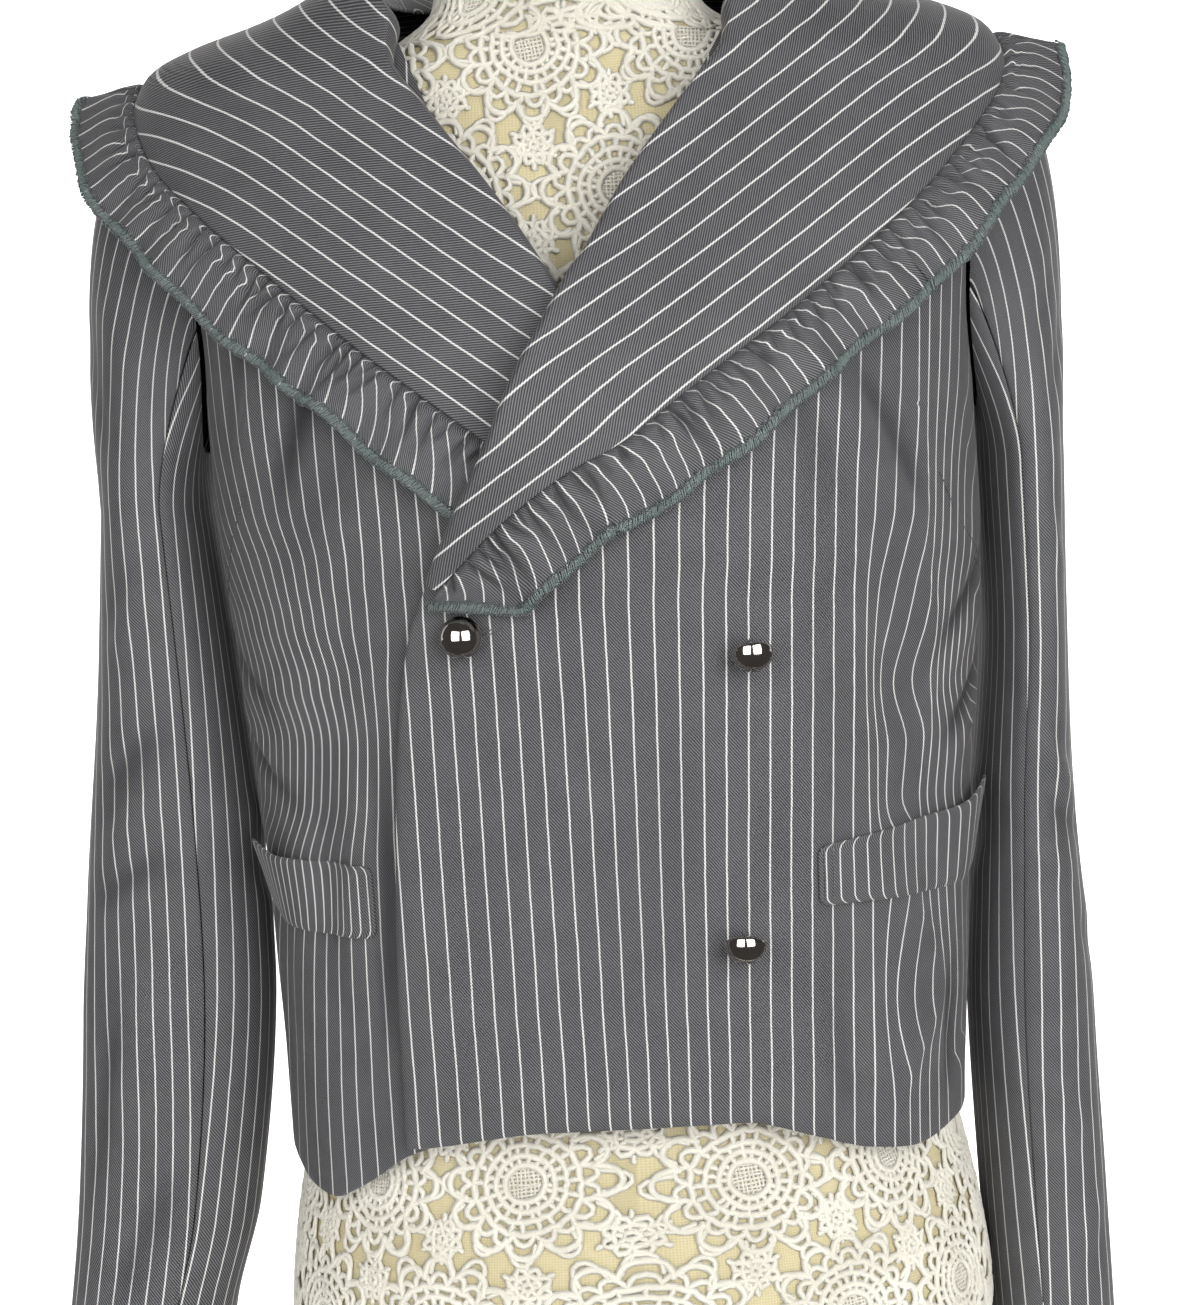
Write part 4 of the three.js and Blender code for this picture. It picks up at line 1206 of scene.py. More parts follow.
LEFT_FRILL_FOLDS = table(
    "at slide sharp spread height over",
    (84, 5.0, 4.2, 17, 1.7, 1),
    (262, 4.5, 3.0, 15, 1.3, -1),
    (318, 3.2, 3.0, 13, 1.1, 1),
    (455, 4.0, 3.0, 15, 1.2, 1),
    (540, 3.4, 3.0, 14, 1.0, -1),
)
RIGHT_FRILL_FOLDS = table(
    "at slide sharp spread height over",
    (92, 3.0, 3.0, 13, 1.1, -1),
    (178, 2.6, 3.0, 12, 1.0, 1),
    (392, 4.0, 3.0, 14, 1.2, 1),
    (470, 3.2, 3.0, 14, 1.0, -1),
)


def frill_half(name, front_rows, side, lift, growth, folds, seed, lean, bow):
    """One half of the frill. Its stripes lean by lean and bow by bow on their way out."""
    cloth = bpy.context.scene.blazer_cloth
    thickness = cloth.frill_thickness / MM
    lines = collar_lines(front_rows)
    along = np.linspace(0, 1, cloth.frill_rows)
    frame_at = FrillFrame(lines, along, lift)
    width = (FRILL_WIDTH + FRILL_SEAM_GAP) * smooth(0.2 + along * growth)
    width = width * (1 + 0.035 * np.sin(frame_at.length / 19) + 0.025 * np.sin(frame_at.length / 7.3))
    under, near = [-4.0, -3.7, -3.0, -1.5], np.arange(0, 4, 0.8)
    outer, edge = np.linspace(4.2, FRILL_WIDTH - 1, 18), [FRILL_WIDTH - 0.4, FRILL_WIDTH]
    out = np.concatenate([under, near, outer, edge])
    # The puckers' mask is painted shade, by which the finish darkens the cloth.
    grid, hollow = frill_surface(frame_at, out[None, :], width, folds, seed)
    grid = grid * (side, 1, 1)
    # The cut length is the same all across, so the stripes spread over arches and close up in valleys.
    arc = arc_lengths(grid, 0)
    u = arc / arc[-1:] * frame_at.length[-1] * cloth.frill_fullness
    away = np.maximum(0, out) * np.ones_like(u)
    u = u + 2.2 * np.sin(frame_at.length[:, None] / 9.0) * away / FRILL_WIDTH - lean * away - bow * away**2
    uv = np.stack([side * u, np.broadcast_to(-out, u.shape)], axis=-1)
    piece = cloth_wall(name, grid, thickness, side < 0, uv, suiting(), hollow=hollow)
    settle(piece, "suiting", name)
    trim = overlock(name, grid, side, seed)
    return piece


# ---- stitches ----
THREAD_STEPS = 4
THREAD_SIDES = 4


def bites_tree():
    """A node tree that lays one bowed piece of thread on every point of a mesh."""
    name = "thread bites"
    if name in bpy.data.node_groups:
        return bpy.data.node_groups[name]
    tree = bpy.data.node_groups.new(name, "GeometryNodeTree")
    wanted = (
        ("Geometry", "NodeSocketGeometry"), ("Start", "NodeSocketVector"), ("Middle", "NodeSocketVector"),
        ("End", "NodeSocketVector"), ("Thickness", "NodeSocketFloat"), ("Unevenness", "NodeSocketFloat"),
        ("Seed", "NodeSocketInt"), ("Material", "NodeSocketMaterial"),
    )
    for label, kind in wanted:
        tree.interface.new_socket(label, in_out="INPUT", socket_type=kind)
    tree.interface.new_socket("Geometry", in_out="OUTPUT", socket_type="NodeSocketGeometry")
    graph = Graph(tree)
    given = graph.add("NodeGroupInput").outputs
    middle = {key: given[key] for key in ("Start", "Middle", "End")}
    curve = graph.made("GeometryNodeCurveQuadraticBezier", {"Resolution": THREAD_STEPS, **middle})
    ring = graph.made("GeometryNodeCurvePrimitiveCircle", {"Resolution": THREAD_SIDES})
    graph.feed(ring.node.inputs["Radius"], graph.math("MULTIPLY", given["Thickness"], 0.5))
    inputs = {"Curve": curve, "Profile Curve": ring, "Fill Caps": True}
    thread = graph.made("GeometryNodeCurveToMesh", inputs)
    axes = [
        graph.made("GeometryNodeInputNamedAttribute", {"Name": key}, data_type="FLOAT_VECTOR")
        for key in ("along", "across")
    ]
    inputs = {"Primary Axis": axes[0], "Secondary Axis": axes[1]}
    turn = graph.made("FunctionNodeAxesToRotation", inputs, primary_axis="X", secondary_axis="Y")
    low = graph.math("SUBTRACT", 1.0, given["Unevenness"])
    high = graph.math("ADD", 1.0, given["Unevenness"])
    size = graph.add("FunctionNodeRandomValue", {"Seed": given["Seed"]}, data_type="FLOAT")
    graph.feed(size.inputs[2], low)
    graph.feed(size.inputs[3], high)
    inputs = {"Points": given["Geometry"], "Instance": thread, "Rotation": turn, "Scale": size.outputs[1]}
    laid = graph.made("GeometryNodeInstanceOnPoints", inputs)
    swing = graph.add("FunctionNodeRandomValue", {"Seed": given["Seed"]}, data_type="FLOAT_VECTOR")
    spread = graph.made("ShaderNodeCombineXYZ", {"Z": given["Unevenness"]})
    for socket, most in ((0, -1.2), (1, 1.2)):
        inputs = {"Vector": spread, "Scale": most}
        graph.feed(swing.inputs[socket], graph.made("ShaderNodeVectorMath", inputs, operation="SCALE"))
    swung = graph.made("GeometryNodeRotateInstances", {"Instances": laid, "Rotation": swing.outputs[0]})
    real = graph.made("GeometryNodeRealizeInstances", {"Geometry": swung})
    painted = graph.made("GeometryNodeSetMaterial", {"Geometry": real, "Material": given["Material"]})
    graph.add("NodeGroupOutput", {"Geometry": painted})
    return tree


def bites(name, places, along, across, shape, thickness, unevenness, seed, material, slot):
    """Pieces of thread at points on the cloth. shape is the start, middle and end of one, in millimetres."""
    mesh = bpy.data.meshes.new(name + "_points")
    mesh.vertices.add(len(places))
    mesh.vertices.foreach_set("co", (np.asarray(places) * MM).astype(np.float32).ravel())
    for key, values in (("along", along), ("across", across)):
        attribute = mesh.attributes.new(key, "FLOAT_VECTOR", "POINT")
        attribute.data.foreach_set("vector", np.asarray(values).astype(np.float32).ravel())
    source = bpy.data.objects.new(name + "_points", mesh)
    bpy.context.scene.collection.objects.link(source)
    tree = bites_tree()
    modifier = source.modifiers.new("thread", "NODES")
    modifier.node_group = tree
    sockets = {item.name: item.identifier for item in tree.interface.items_tree if item.in_out == "INPUT"}
    for key, values in zip(("Start", "Middle", "End"), shape):
        modifier[sockets[key]] = [value * MM for value in values]
    modifier[sockets["Thickness"]] = thickness * MM
    modifier[sockets["Unevenness"]] = unevenness
    modifier[sockets["Seed"]] = seed
    modifier[sockets["Material"]] = material
    bpy.context.view_layer.update()
    made = source.evaluated_get(bpy.context.evaluated_depsgraph_get())
    plain = bpy.data.meshes.new_from_object(made)
    bpy.data.objects.remove(source)
    plain.name = name
    if not plain.materials:
        plain.materials.append(material)
    plain.shade_smooth()
    piece = bpy.data.objects.new(name, plain)
    bpy.context.scene.collection.objects.link(piece)
    return settle(piece, slot)


def spaced(line, pitch, *others):
    """Points at an even pitch along a line, with other values that go with it."""
    length = line_lengths(line)
    at = np.arange(pitch / 2, length[-1], pitch)
    return [along_line(at, length, values) for values in (line, *others)]


def overlock(name, grid, side, seed):
    """The overlocked free edge of a frill: light wraps with a darker row of loops on both sides."""
    sewing = bpy.context.scene.blazer_sewing
    normal = grid_normals(grid)[:, -1] * side
    out = unit(grid[:, -1] - grid[:, -4])
    edge, out, normal = spaced(grid[:, -1], sewing.wrap_pitch / MM, out, normal)
    along = unit(np.gradient(edge, axis=0)) * -side
    across = unit(out - along * dot(out, along))
    rng = np.random.default_rng(seed)
    wide = sewing.wrap_width / MM
    wraps = bites(name + "_wraps", edge, along, across,
                  ((-0.9, -wide, 0.35), (0.1, -wide / 2, 1.0), (1.0, 0.25, 0.1)),
                  sewing.wrap_thickness / MM, 0.1, seed, edge_thread(), "edge_thread")
    low = edge + rng.normal(0, 0.14, edge.shape)
    outer = bites(name + "_edge_loops", low, along, across,
                  ((-0.5, -0.3, 0.5), (0.1, 1.5, 0.1), (0.7, -0.3, -0.9)),
                  sewing.loop_thickness / MM, 0.25, seed + 1, loop_thread(), "edge_thread")
    inner = bites(name + "_inner_loops", low, along, across,
                  ((-0.7, -wide + 0.5, 0.5), (0.0, -wide - 1.2, 0.9), (0.8, -wide + 0.4, 0.5)),
                  sewing.loop_thickness / MM, 0.25, seed + 2, loop_thread(), "edge_thread")
    return [wraps, outer, inner]


def stitch_row(name, angles, heights, lift, out, pitch, length, thickness):
    """A row of straight stitches over a body panel, between points given as angles and heights."""
    fine = np.linspace(0, 1, 60)
    steps = np.linspace(0, 1, len(angles))
    angle, z = np.interp(fine, steps, angles), np.interp(fine, steps, heights)
    line = BLAZER.point(angle, z, lift(angle, z) + out)
    normal = BLAZER.normal(angle, z)
    places, normal = spaced(line, pitch, normal)
    along = unit(np.gradient(places, axis=0))
    across = unit(np.cross(normal, along))
    half = length / 2
    shape = ((-half, 0, -0.15), (0, 0, 0.45), (half, 0, -0.15))
    return bites(name, places, along, across, shape, thickness, 0.12, len(angles), sewing_thread(),
                 "sewing_thread")


DARTS = table(
    "name angles heights lift",
    ("left_dart_upper", (57, 62), (479, 462), overlap_lift),
    ("left_dart", (65, 80), (455, 432), overlap_lift),
    ("right_dart", (-58, -76), (487, 440), no_lift),
)


def darts():
    """A row of dark stitches down each bust dart."""
    for row in DARTS:
        stitch_row(**row, out=0.4, pitch=2.2, length=1.6, thickness=0.55)


def buttonhole():
    """The end of the worked buttonhole that shows beside the fastened button."""
    angles = BLAZER.angle_at(np.array([-52.0, -43.5]), np.array([423.0, 424.0]))
    heights = np.array((423.0, 424.2))
    for i, rise in enumerate((-0.9, 0.9)):
        stitch_row(f"buttonhole_{i + 1}", angles, heights + rise, overlap_lift,
                   out=0.3, pitch=0.75, length=1.5, thickness=0.5)


# ---- pockets and buttons ----
WELT_CLEARANCE = 1.2
WELT_FOLD = 0.55
PANEL_CLOTH = 1.4


def welt_lift(sizes, side, lift, across, up):
    """Where a point of a welt lies over its front: its angle, height and distance out."""
    angle = side * mix(sizes["from"], sizes["to"], across)
    low = mix(sizes["low_front"], sizes["low_side"], across)
    z = mix(low, mix(sizes["top_front"], sizes["top_side"], across), up)
    end = smooth((across - 0.55) / 0.45)
    z = z + sizes["end_rise"] * end * end
    gape = sizes["gape"] * up * smooth((across - 0.3) / 0.7) + 2.2 * end * up
    return angle, z, lift(angle, z) + WELT_CLEARANCE + PANEL_CLOTH + gape


def welt(name, sizes, side, lift, closer):
    """One pocket welt. Its stripes lie closer than the cloth's own by that factor."""
    cloth = bpy.context.scene.blazer_cloth
    up = graded(0, 1, 16, 0.02)[:, None]
    across = graded(0, 1, 44, 0.008)[None, :]
    # Its corners are rounded, and its front end is folded under and pressed flat.
    into_corner = ((np.abs(up - 0.5) - 0.36) / 0.14).clip(0, 1)
    corner = 0.05 * (1 - np.sqrt(np.maximum(0, 1 - into_corner**2)))
    spread = across * (1 - 2 * corner) + corner
    angle, z, out = welt_lift(sizes, side, lift, spread, up)
    pressed = smooth((across - 0.06) / 0.03) * WELT_FOLD
    soft = 0.5 * np.sin(across * 9 + up * 2.4) * smooth(across * 3)
    grid = BLAZER.point(angle, z, out - WELT_FOLD + pressed + soft)
    grid = turn_under(grid, side < 0, ("first", "last", "low", "high"), reach=1.5, depth=0.5)
    u = side * arc_lengths(grid, 1)[grid.shape[0] // 2] + 0 * z
    uv = np.stack([u, z + 0 * u], axis=-1)
    piece = cloth_wall(name, grid, cloth.thickness / MM, side < 0, uv, suiting(),
                       stripe_shift=(closer - 1) * u * MM, crowding=closer - 1 + 0 * u)
    settle(piece, "suiting", name)
    stitches = welt_stitches(name, sizes, side, lift)
    return piece


def welt_stitches(name, sizes, side, lift):
    """Two rows of small stitches down the front end of a welt."""
    rows = []
    for i, across in enumerate((0.018, 0.055)):
        up = np.linspace(0.12, 0.9, 8)
        angle, z, out = welt_lift(sizes, side, lift, np.full(8, across), up)
        line = BLAZER.point(angle, z, out - 0.45)
        places, normal = spaced(line, 2.1, BLAZER.normal(angle, z))
        along = unit(np.gradient(places, axis=0))
        shape = ((-0.85, 0, -0.1), (0, 0, 0.5), (0.85, 0, -0.1))
        rows.append(bites(f"{name}_stitches_{i + 1}", places, along, unit(np.cross(normal, along)), shape,
                          0.5, 0.1, i, sewing_thread(), "sewing_thread"))
    return rows


def lathe(name, profile, segments, material):
    """A closed turned solid about Z from (radius, height) points that start and end on the axis."""
    rings = profile[1:-1]
    turns = np.arange(segments) * 2 * math.pi / segments
    verts = [(0, 0, profile[0][1])]
    verts += [(r * math.cos(t), r * math.sin(t), z) for r, z in rings for t in turns]
    verts.append((0, 0, profile[-1][1]))
    first, last = 1, 1 + (len(rings) - 1) * segments
    k = np.arange(segments)
    following = (k + 1) % segments
    low = np.stack([np.zeros_like(k), first + following, first + k], axis=1)
    top = np.stack([np.full_like(k, len(verts) - 1), last + k, last + following], axis=1)
    wall = halved(tube_faces(1, len(rings), segments) + first)
    return make_mesh(name, np.array(verts), np.concatenate([low, wall, top]), material)


BUTTON_RADIUS = 9.4
BUTTON_DOME = 9.2
BUTTON_SHANK = 3.2
BUTTON_RIM = 1.6


def button_place(row):
    """The point under a button's back and the way it faces."""
    angle = BLAZER.angle_at(row["x"], row["z"])
    droop = math.radians(row["droop"])
    clear = BUTTON_SHANK + 0.6 + 7.4 * math.sin(droop)
    at = BLAZER.point(angle, row["z"], overlap_lift(angle, row["z"]) + clear)
    return np.asarray(at, float), droop


def button(row):
    """One domed button on its shank."""
    profile = [(0.0, 0.0), (6.6, 0.0), (7.6, 0.15), (8.4, 0.6), (9.15, 1.1), (BUTTON_RADIUS, BUTTON_RIM)]
    arc = np.linspace(0.06, math.pi / 2, 22)
    profile += [(BUTTON_RADIUS * math.cos(t), BUTTON_RIM + BUTTON_DOME * math.sin(t)) for t in arc[:-1]]
    profile.append((0.0, BUTTON_RIM + BUTTON_DOME))
    metal = finish("polished_gunmetal", metal_finish, bpy.context.scene.blazer_buttons)
    piece = lathe(row["name"], profile, segments=72, material=metal)
    at, droop = button_place(row)
    turn = Matrix.Rotation(math.radians(90) + droop, 4, "X")
    turn = Matrix.Rotation(math.radians(row["turn"]), 4, "Z") @ turn
    piece.data.transform(Matrix.Translation(Vector(at * MM)) @ turn)
    settle(piece, "button_metal", row["name"])
    shank(row, at, turn)
    return piece


SHANK_LOOPS = 9
SHANK_WINDS = 5
SHANK_STEPS = 14
WIND_RADIUS = 1.35
WIND_TURN = 30


def shank(row, at, turn):
    """The thread that holds a button: several loops through the cloth, wound round."""
    rng = np.random.default_rng(7)
    t = np.linspace(0, 1, SHANK_STEPS)
    bow = np.sin(t * math.pi)[:, None]
    lines = []
    for i in range(SHANK_LOOPS):
        turned = 2 * math.pi * i / SHANK_LOOPS + rng.uniform(-0.2, 0.2)
        foot = np.array([math.cos(turned), math.sin(turned), 0]) * 1.1
        sway = np.array([math.cos(turned + 1.2), math.sin(turned + 1.2), 0]) * 0.6 * bow
        down = np.array([0, 0, 1]) * (0.5 - 4.0 * t)[:, None]
        lines.append(foot * (1.1 - 0.3 * bow) + sway + down)
    winds = np.linspace(0, 1, SHANK_WINDS * SHANK_STEPS)
    wound = np.stack([
        WIND_RADIUS * np.cos(winds * WIND_TURN), WIND_RADIUS * np.sin(winds * WIND_TURN), -0.5 - 2.2 * winds,
    ], axis=-1)
    lines += np.split(wound, SHANK_WINDS)
    line = np.array(lines) @ np.array(turn.to_3x3()).T + at
    normal = unit(line - line.mean(axis=1, keepdims=True) + 0.01)
    tubes = closed_tubes(line, normal, radius=0.34, sides=6)
    piece = make_mesh(row["name"].replace("button", "shank"), *tubes, sewing_thread())
    return settle(piece, "sewing_thread")


def closed_tubes(line, normal, radius, sides, flat=1.0):
    """Points and faces of tubes along many lines of equal length, with their ends drawn in to a point."""
    count, steps = line.shape[:2]
    ahead = unit(np.gradient(line, axis=1))
    start = line[:, :1] - ahead[:, :1] * radius * 0.6
    end = line[:, -1:] + ahead[:, -1:] * radius * 0.6
    line = np.concatenate([start, line, end], axis=1)
    normal = np.concatenate([normal[:, :1], normal, normal[:, -1:]], axis=1)
    size = np.full((1, steps + 2, 1, 1), radius)
    size[:, [0, -1]] = 0.05 * radius
    verts = tube_points(line, normal, size, sides, flat).reshape(-1, 3)
    return verts, capped_faces(count, steps + 2, sides)


def capped_faces(count, steps, sides):
    """Triangles of closed tubes, with a fan over each end."""
    triangles = [halved(tube_faces(count, steps, sides))]
    base = np.arange(count) * steps * sides
    for k in range(1, sides - 1):
        triangles.append(np.stack([base, base + k + 1, base + k], axis=1))
        high = base + (steps - 1) * sides
        triangles.append(np.stack([high, high + k, high + k + 1], axis=1))
    return np.concatenate(triangles)


# ---- dress form ----
FORM_TOP = 780
FORM_EDGE = 6


def form_body():
    """The form's linen covered body, as one smooth closed solid."""
    form = bpy.context.scene.blazer_form
    low, high = [0, 1.2, 3, FORM_EDGE], [FORM_TOP - 4, FORM_TOP - 1.4, FORM_TOP]
    z = np.concatenate([low, np.linspace(10, FORM_TOP - 8, form.rows), high])
    angle = np.arange(form.columns) * 360 / form.columns
    from_edge = np.minimum(1, np.minimum(z, FORM_TOP - z) / FORM_EDGE)
    inset = FORM_EDGE * (1 - np.sqrt(1 - (1 - from_edge) ** 2))
    grid = FORM.point(angle[None, :], z[:, None], -inset[:, None])
    grid[..., 2] = z[:, None]
    rows, columns = grid.shape[:2]
    verts = np.concatenate([grid.reshape(-1, 3), [(0, 0, 0), (0, 0, FORM_TOP)]])
    k = np.arange(columns)
    foot = np.stack([np.full(columns, len(verts) - 2), (k + 1) % columns, k], axis=1)
    last = (rows - 1) * columns
    neck = np.stack([np.full(columns, len(verts) - 1), last + k, last + (k + 1) % columns], axis=1)
    triangles = np.concatenate([halved(tube_faces(1, rows, columns)), foot, neck])
    around = grid[..., 0] * 0 + angle[None, :] * 2.4
    uv = np.stack([around, z[:, None] + 0 * around], axis=-1).reshape(-1, 2)
    uv = np.concatenate([uv, [(0, 0), (0, FORM_TOP)]])
    linen = finish("plain_linen", linen_finish, form)
    return settle(make_mesh("form_body", verts, triangles, linen, uv), "form_linen", "dress_form")


# ---- crochet lace ----
def polar(turn, distance):
    """Points in the flat at a turn and a distance from the middle."""
    return np.stack([np.cos(turn) * distance, np.sin(turn) * distance], axis=-1)


class Strands:
    """Lines of crochet in the flat, in millimetres, with a hand-made unevenness."""

    def __init__(self, seed):
        self.rng = np.random.default_rng(seed)
        self.lines = []

    def add(self, line, radius):
        self.lines.append((np.asarray(line, float), radius))

    def ring(self, centre, radius, thick, bumps=0, depth=0.0):
        turn = np.linspace(0, 2 * math.pi, max(14, int(radius * 2.4)))
        shift = self.rng.uniform(0, 6)
        wave = 1 + 0.03 * np.sin(turn * 2 + shift) + 0.02 * np.sin(turn * 5 + shift)
        r = radius * wave + depth * np.cos(turn * bumps) * (bumps > 0)
        self.add(centre + polar(turn, r), thick)

    def spokes(self, centre, inner, outer, count, thick, shift=0.0):
        for i in range(count):
            turn = 2 * math.pi * (i + shift) / count + self.rng.normal(0, 0.04)
            t = np.linspace(inner, outer, max(3, int((outer - inner) / 2.2)))
            bow = self.rng.normal(0, 0.03) * np.sin((t - inner) / (outer - inner) * math.pi)
            self.add(centre + polar(turn + bow, t), thick)

    def arches(self, centre, radius, height, count, thick, shift=0.0, wide=0.5):
        for i in range(count):
            middle = 2 * math.pi * (i + shift) / count
            t = np.linspace(-1, 1, 13)
            reach = height * (1 + self.rng.normal(0, 0.07))
            turn = middle + t * (2 * math.pi / count) * wide + self.rng.normal(0, 0.015)
            r = radius + reach * (1 - np.abs(t) ** 2.6)
            self.add(centre + polar(turn, r), thick)

    def grid(self, centre, radius, step, thick):
        turn = self.rng.uniform(-0.25, 0.25)
        for offset in np.arange(-radius + step / 2, radius, step):
            half = math.sqrt(max(0.0, radius**2 - offset**2))
            for quarter in (0, 1):
                a = turn + quarter * math.pi / 2 + self.rng.normal(0, 0.03)
                t = np.linspace(-half, half, 5)
                wobble = self.rng.normal(0, 0.16, 5)
                x = t * math.cos(a) - (offset + wobble) * math.sin(a)
                y = t * math.sin(a) + (offset + wobble) * math.cos(a)
                self.add(centre + np.stack([x, y], axis=-1), thick)


def medallion(strands, centre):
    """A round of crochet: a woven middle, rows of holes that grow outwards, and an edge of large loops."""
    strands.grid(centre, 8.2, 1.75, 0.34)
    strands.ring(centre, 8.6, 1.05)
    strands.spokes(centre, 8.8, 12.3, 18, 0.85)
    strands.ring(centre, 12.6, 1.1)
    strands.spokes(centre, 12.8, 17.0, 20, 0.9, 0.5)
    strands.ring(centre, 17.2, 1.1, 20, 0.5)
    strands.spokes(centre, 17.4, 22.2, 20, 0.95)
    strands.ring(centre, 22.6, 1.15, 20, 0.7)
    strands.arches(centre, 22.8, 5.6, 18, 1.0, 0.5, 0.5)
    strands.arches(centre, 26.5, 8.2, 12, 1.15, 0.0, 0.52)
    strands.arches(centre, 28.5, 9.5, 12, 0.9, 0.0, 0.34)


def rosette(strands, centre, size):
    """A small round of loops that fills the space between medallions."""
    strands.ring(centre, size * 0.22, 1.1)
    strands.spokes(centre, size * 0.26, size * 0.5, 8, 0.85)
    strands.ring(centre, size * 0.54, 1.05, 8, 0.5)
    strands.arches(centre, size * 0.54, size * 0.42, 8, 1.05, 0.5, 0.5)
    strands.spokes(centre, size * 0.9, size * 1.2, 6, 0.9, 0.5)


ROW_RISE = 0.86
ROSETTE_RISE = 0.655
ROSETTE_SIZE = 9.5


def lace_field(strands, width, low, high, pitch, shift=0.0):
    """Staggered rows of medallions over a flat strip and past its end, with rosettes between them."""
    count = max(1, round(width / pitch))
    step = width / count
    rise = pitch * ROW_RISE
    rows = int((high - low) / rise) + 3
    for row in range(rows):
        y = low + (row - 0.6) * rise
        for i in range(count + 1):
            x = (i + 0.5 * (row % 2) + shift) * step
            jitter = strands.rng.normal(0, 1.2, 2)
            medallion(strands, np.array([x, y]) + jitter)
            for up in (-1, 1):
                spot = np.array([x, y + up * rise * ROSETTE_RISE]) + strands.rng.normal(0, 0.8, 2)
                rosette(strands, spot, ROSETTE_SIZE)


def lay_lace(name, strands, place, keep):
    """Turns flat strands into closed tubes on the form. place maps the flat to angle and height."""
    lace = bpy.context.scene.blazer_form
    flats, radii, owner = [], [], []
    for line, radius in strands.lines:
        length = line_lengths(line)
        at = np.linspace(0, length[-1], max(3, int(length[-1] / lace.strand_step * MM) + 1))
        flats.append(along_line(at, length, line))
        radii.append(np.full(len(at), radius * lace.strand_size))
        owner.append(np.full(len(at), len(owner)))
    radius, owner = np.concatenate(radii), np.concatenate(owner)
    angle, z = place(np.concatenate(flats))
    normal = FORM.normal(angle, z)
    wave = 0.12 * np.sin(np.arange(len(z)) * 1.7)
    line = FORM.point(angle, z, radius * 0.5 + lace.proud / MM + wave)
    kept = np.where(keep(angle, z), owner, -1)
    starts = np.flatnonzero(np.diff(np.concatenate([[-1], kept])))
    ends = np.append(starts[1:], len(kept))
    made, total = [], 0
    for start, end in zip(starts, ends):
        if kept[start] < 0 or end - start < 3:
            continue
        run = slice(start, end)
        verts, faces = closed_tubes(line[None, run], normal[None, run], radius[start], sides=4, flat=0.62)
        made.append((verts, faces + total))
        total += len(verts)
    cotton = finish("crochet_cotton", cotton_finish, lace)
    verts, faces = (np.concatenate(parts) for parts in zip(*made))
    return settle(make_mesh(name, verts, faces, cotton), "form_lace")


HIP_ROUND = 900.0
NECK_ROUND = 340.0
CHEST_WIDTH = 300


def skirt_lace(name, from_angle, to_angle, seed):
    """Lace round the hips, under the hem."""
    lace = bpy.context.scene.blazer_form
    strands = Strands(seed)
    width = HIP_ROUND * (to_angle - from_angle) / 360
    lace_field(strands, width, 4, 196, lace.medallion_pitch / MM)

    def place(flat):
        return from_angle + flat[:, 0] / HIP_ROUND * 360, flat[:, 1]

    def keep(angle, z):
        inside = (angle >= from_angle - 2) & (angle <= to_angle + 2)
        return inside & (z > 4) & (z < 200)

    return lay_lace(name, strands, place, keep)


def front_lace():
    """Lace on the chest, in the opening of the collar."""
    lace = bpy.context.scene.blazer_form
    strands = Strands(31)
    lace_field(strands, CHEST_WIDTH, 520, 690, lace.medallion_pitch / MM, 0.25)

    def place(flat):
        x = flat[:, 0] - CHEST_WIDTH / 2
        return FORM.angle_at(x, flat[:, 1]), flat[:, 1]

    def keep(angle, z):
        x = FORM.bare(angle, z)[:, 0]
        half = 24 + (z - 545) * 0.72
        return (np.abs(x) < half) & (z > 532) & (z < 688) & (np.abs(x) < 128)

    return lay_lace("chest_lace", strands, place, keep)


def neck_lace():
    """Lace round the neck."""
    lace = bpy.context.scene.blazer_form
    strands = Strands(47)
    lace_field(strands, NECK_ROUND, 684, 772, lace.medallion_pitch / MM * 0.92)

    def place(flat):
        return flat[:, 0] / NECK_ROUND * 360, flat[:, 1]

    def keep(angle, z):
        return (z > 686) & (z < 774)

    return lay_lace("neck_lace", strands, place, keep)


# ---- camera and stage ----
def camera():
    """A level product view from the front, slightly from above, with the tilt of a hand-held camera."""
    look = bpy.context.scene.blazer_stage
    pitch, roll = look.camera_pitch, look.camera_roll
    ahead = Vector((0, math.cos(pitch), -math.sin(pitch)))
    up = Vector((0, math.sin(pitch), math.cos(pitch)))
    right = Vector((1, 0, 0))
    across = right * math.cos(roll) + up * math.sin(roll)
    above = up * math.cos(roll) - right * math.sin(roll)
    at = Vector(look.camera_aim) - ahead * look.camera_distance
    data = bpy.data.cameras.new("camera")
    data.sensor_width = 36
    data.lens = look.camera_lens
    eye = bpy.data.objects.new("camera", data)
    turn = Matrix((across, above, -ahead)).transposed().to_4x4()
    eye.matrix_world = Matrix.Translation(at) @ turn
    bpy.context.scene.collection.objects.link(eye)
    bpy.context.scene.camera = eye
    return eye


SWEEP = 1.2
WALL_HALF = 7.0
FLOOR_DROP = 0.3


def backdrop():
    """A pale floor that curves up into a pale wall."""
    look = bpy.context.scene.blazer_stage
    turns = np.linspace(0, math.pi / 2, 14)
    wall = [(SWEEP + SWEEP * math.sin(t), SWEEP - SWEEP * math.cos(t)) for t in turns]
    for name, profile in (("floor", [(-0.35, 0.0), (SWEEP, 0.0)]), ("backdrop", wall + [(2 * SWEEP, 6.0)])):
        grid = np.array([[(x, y, z) for x in (-WALL_HALF, WALL_HALF)] for y, z in profile]) / MM
        grid[..., 2] -= FLOOR_DROP
        faces = grid_faces(len(profile), 2, False)
        piece = make_mesh(name, grid.reshape(-1, 3), faces, finish("pale_backdrop", backdrop_finish, look))
        # The polished buttons mirror the wall, but not the bright floor under them.
        piece.visible_glossy = name != "floor"


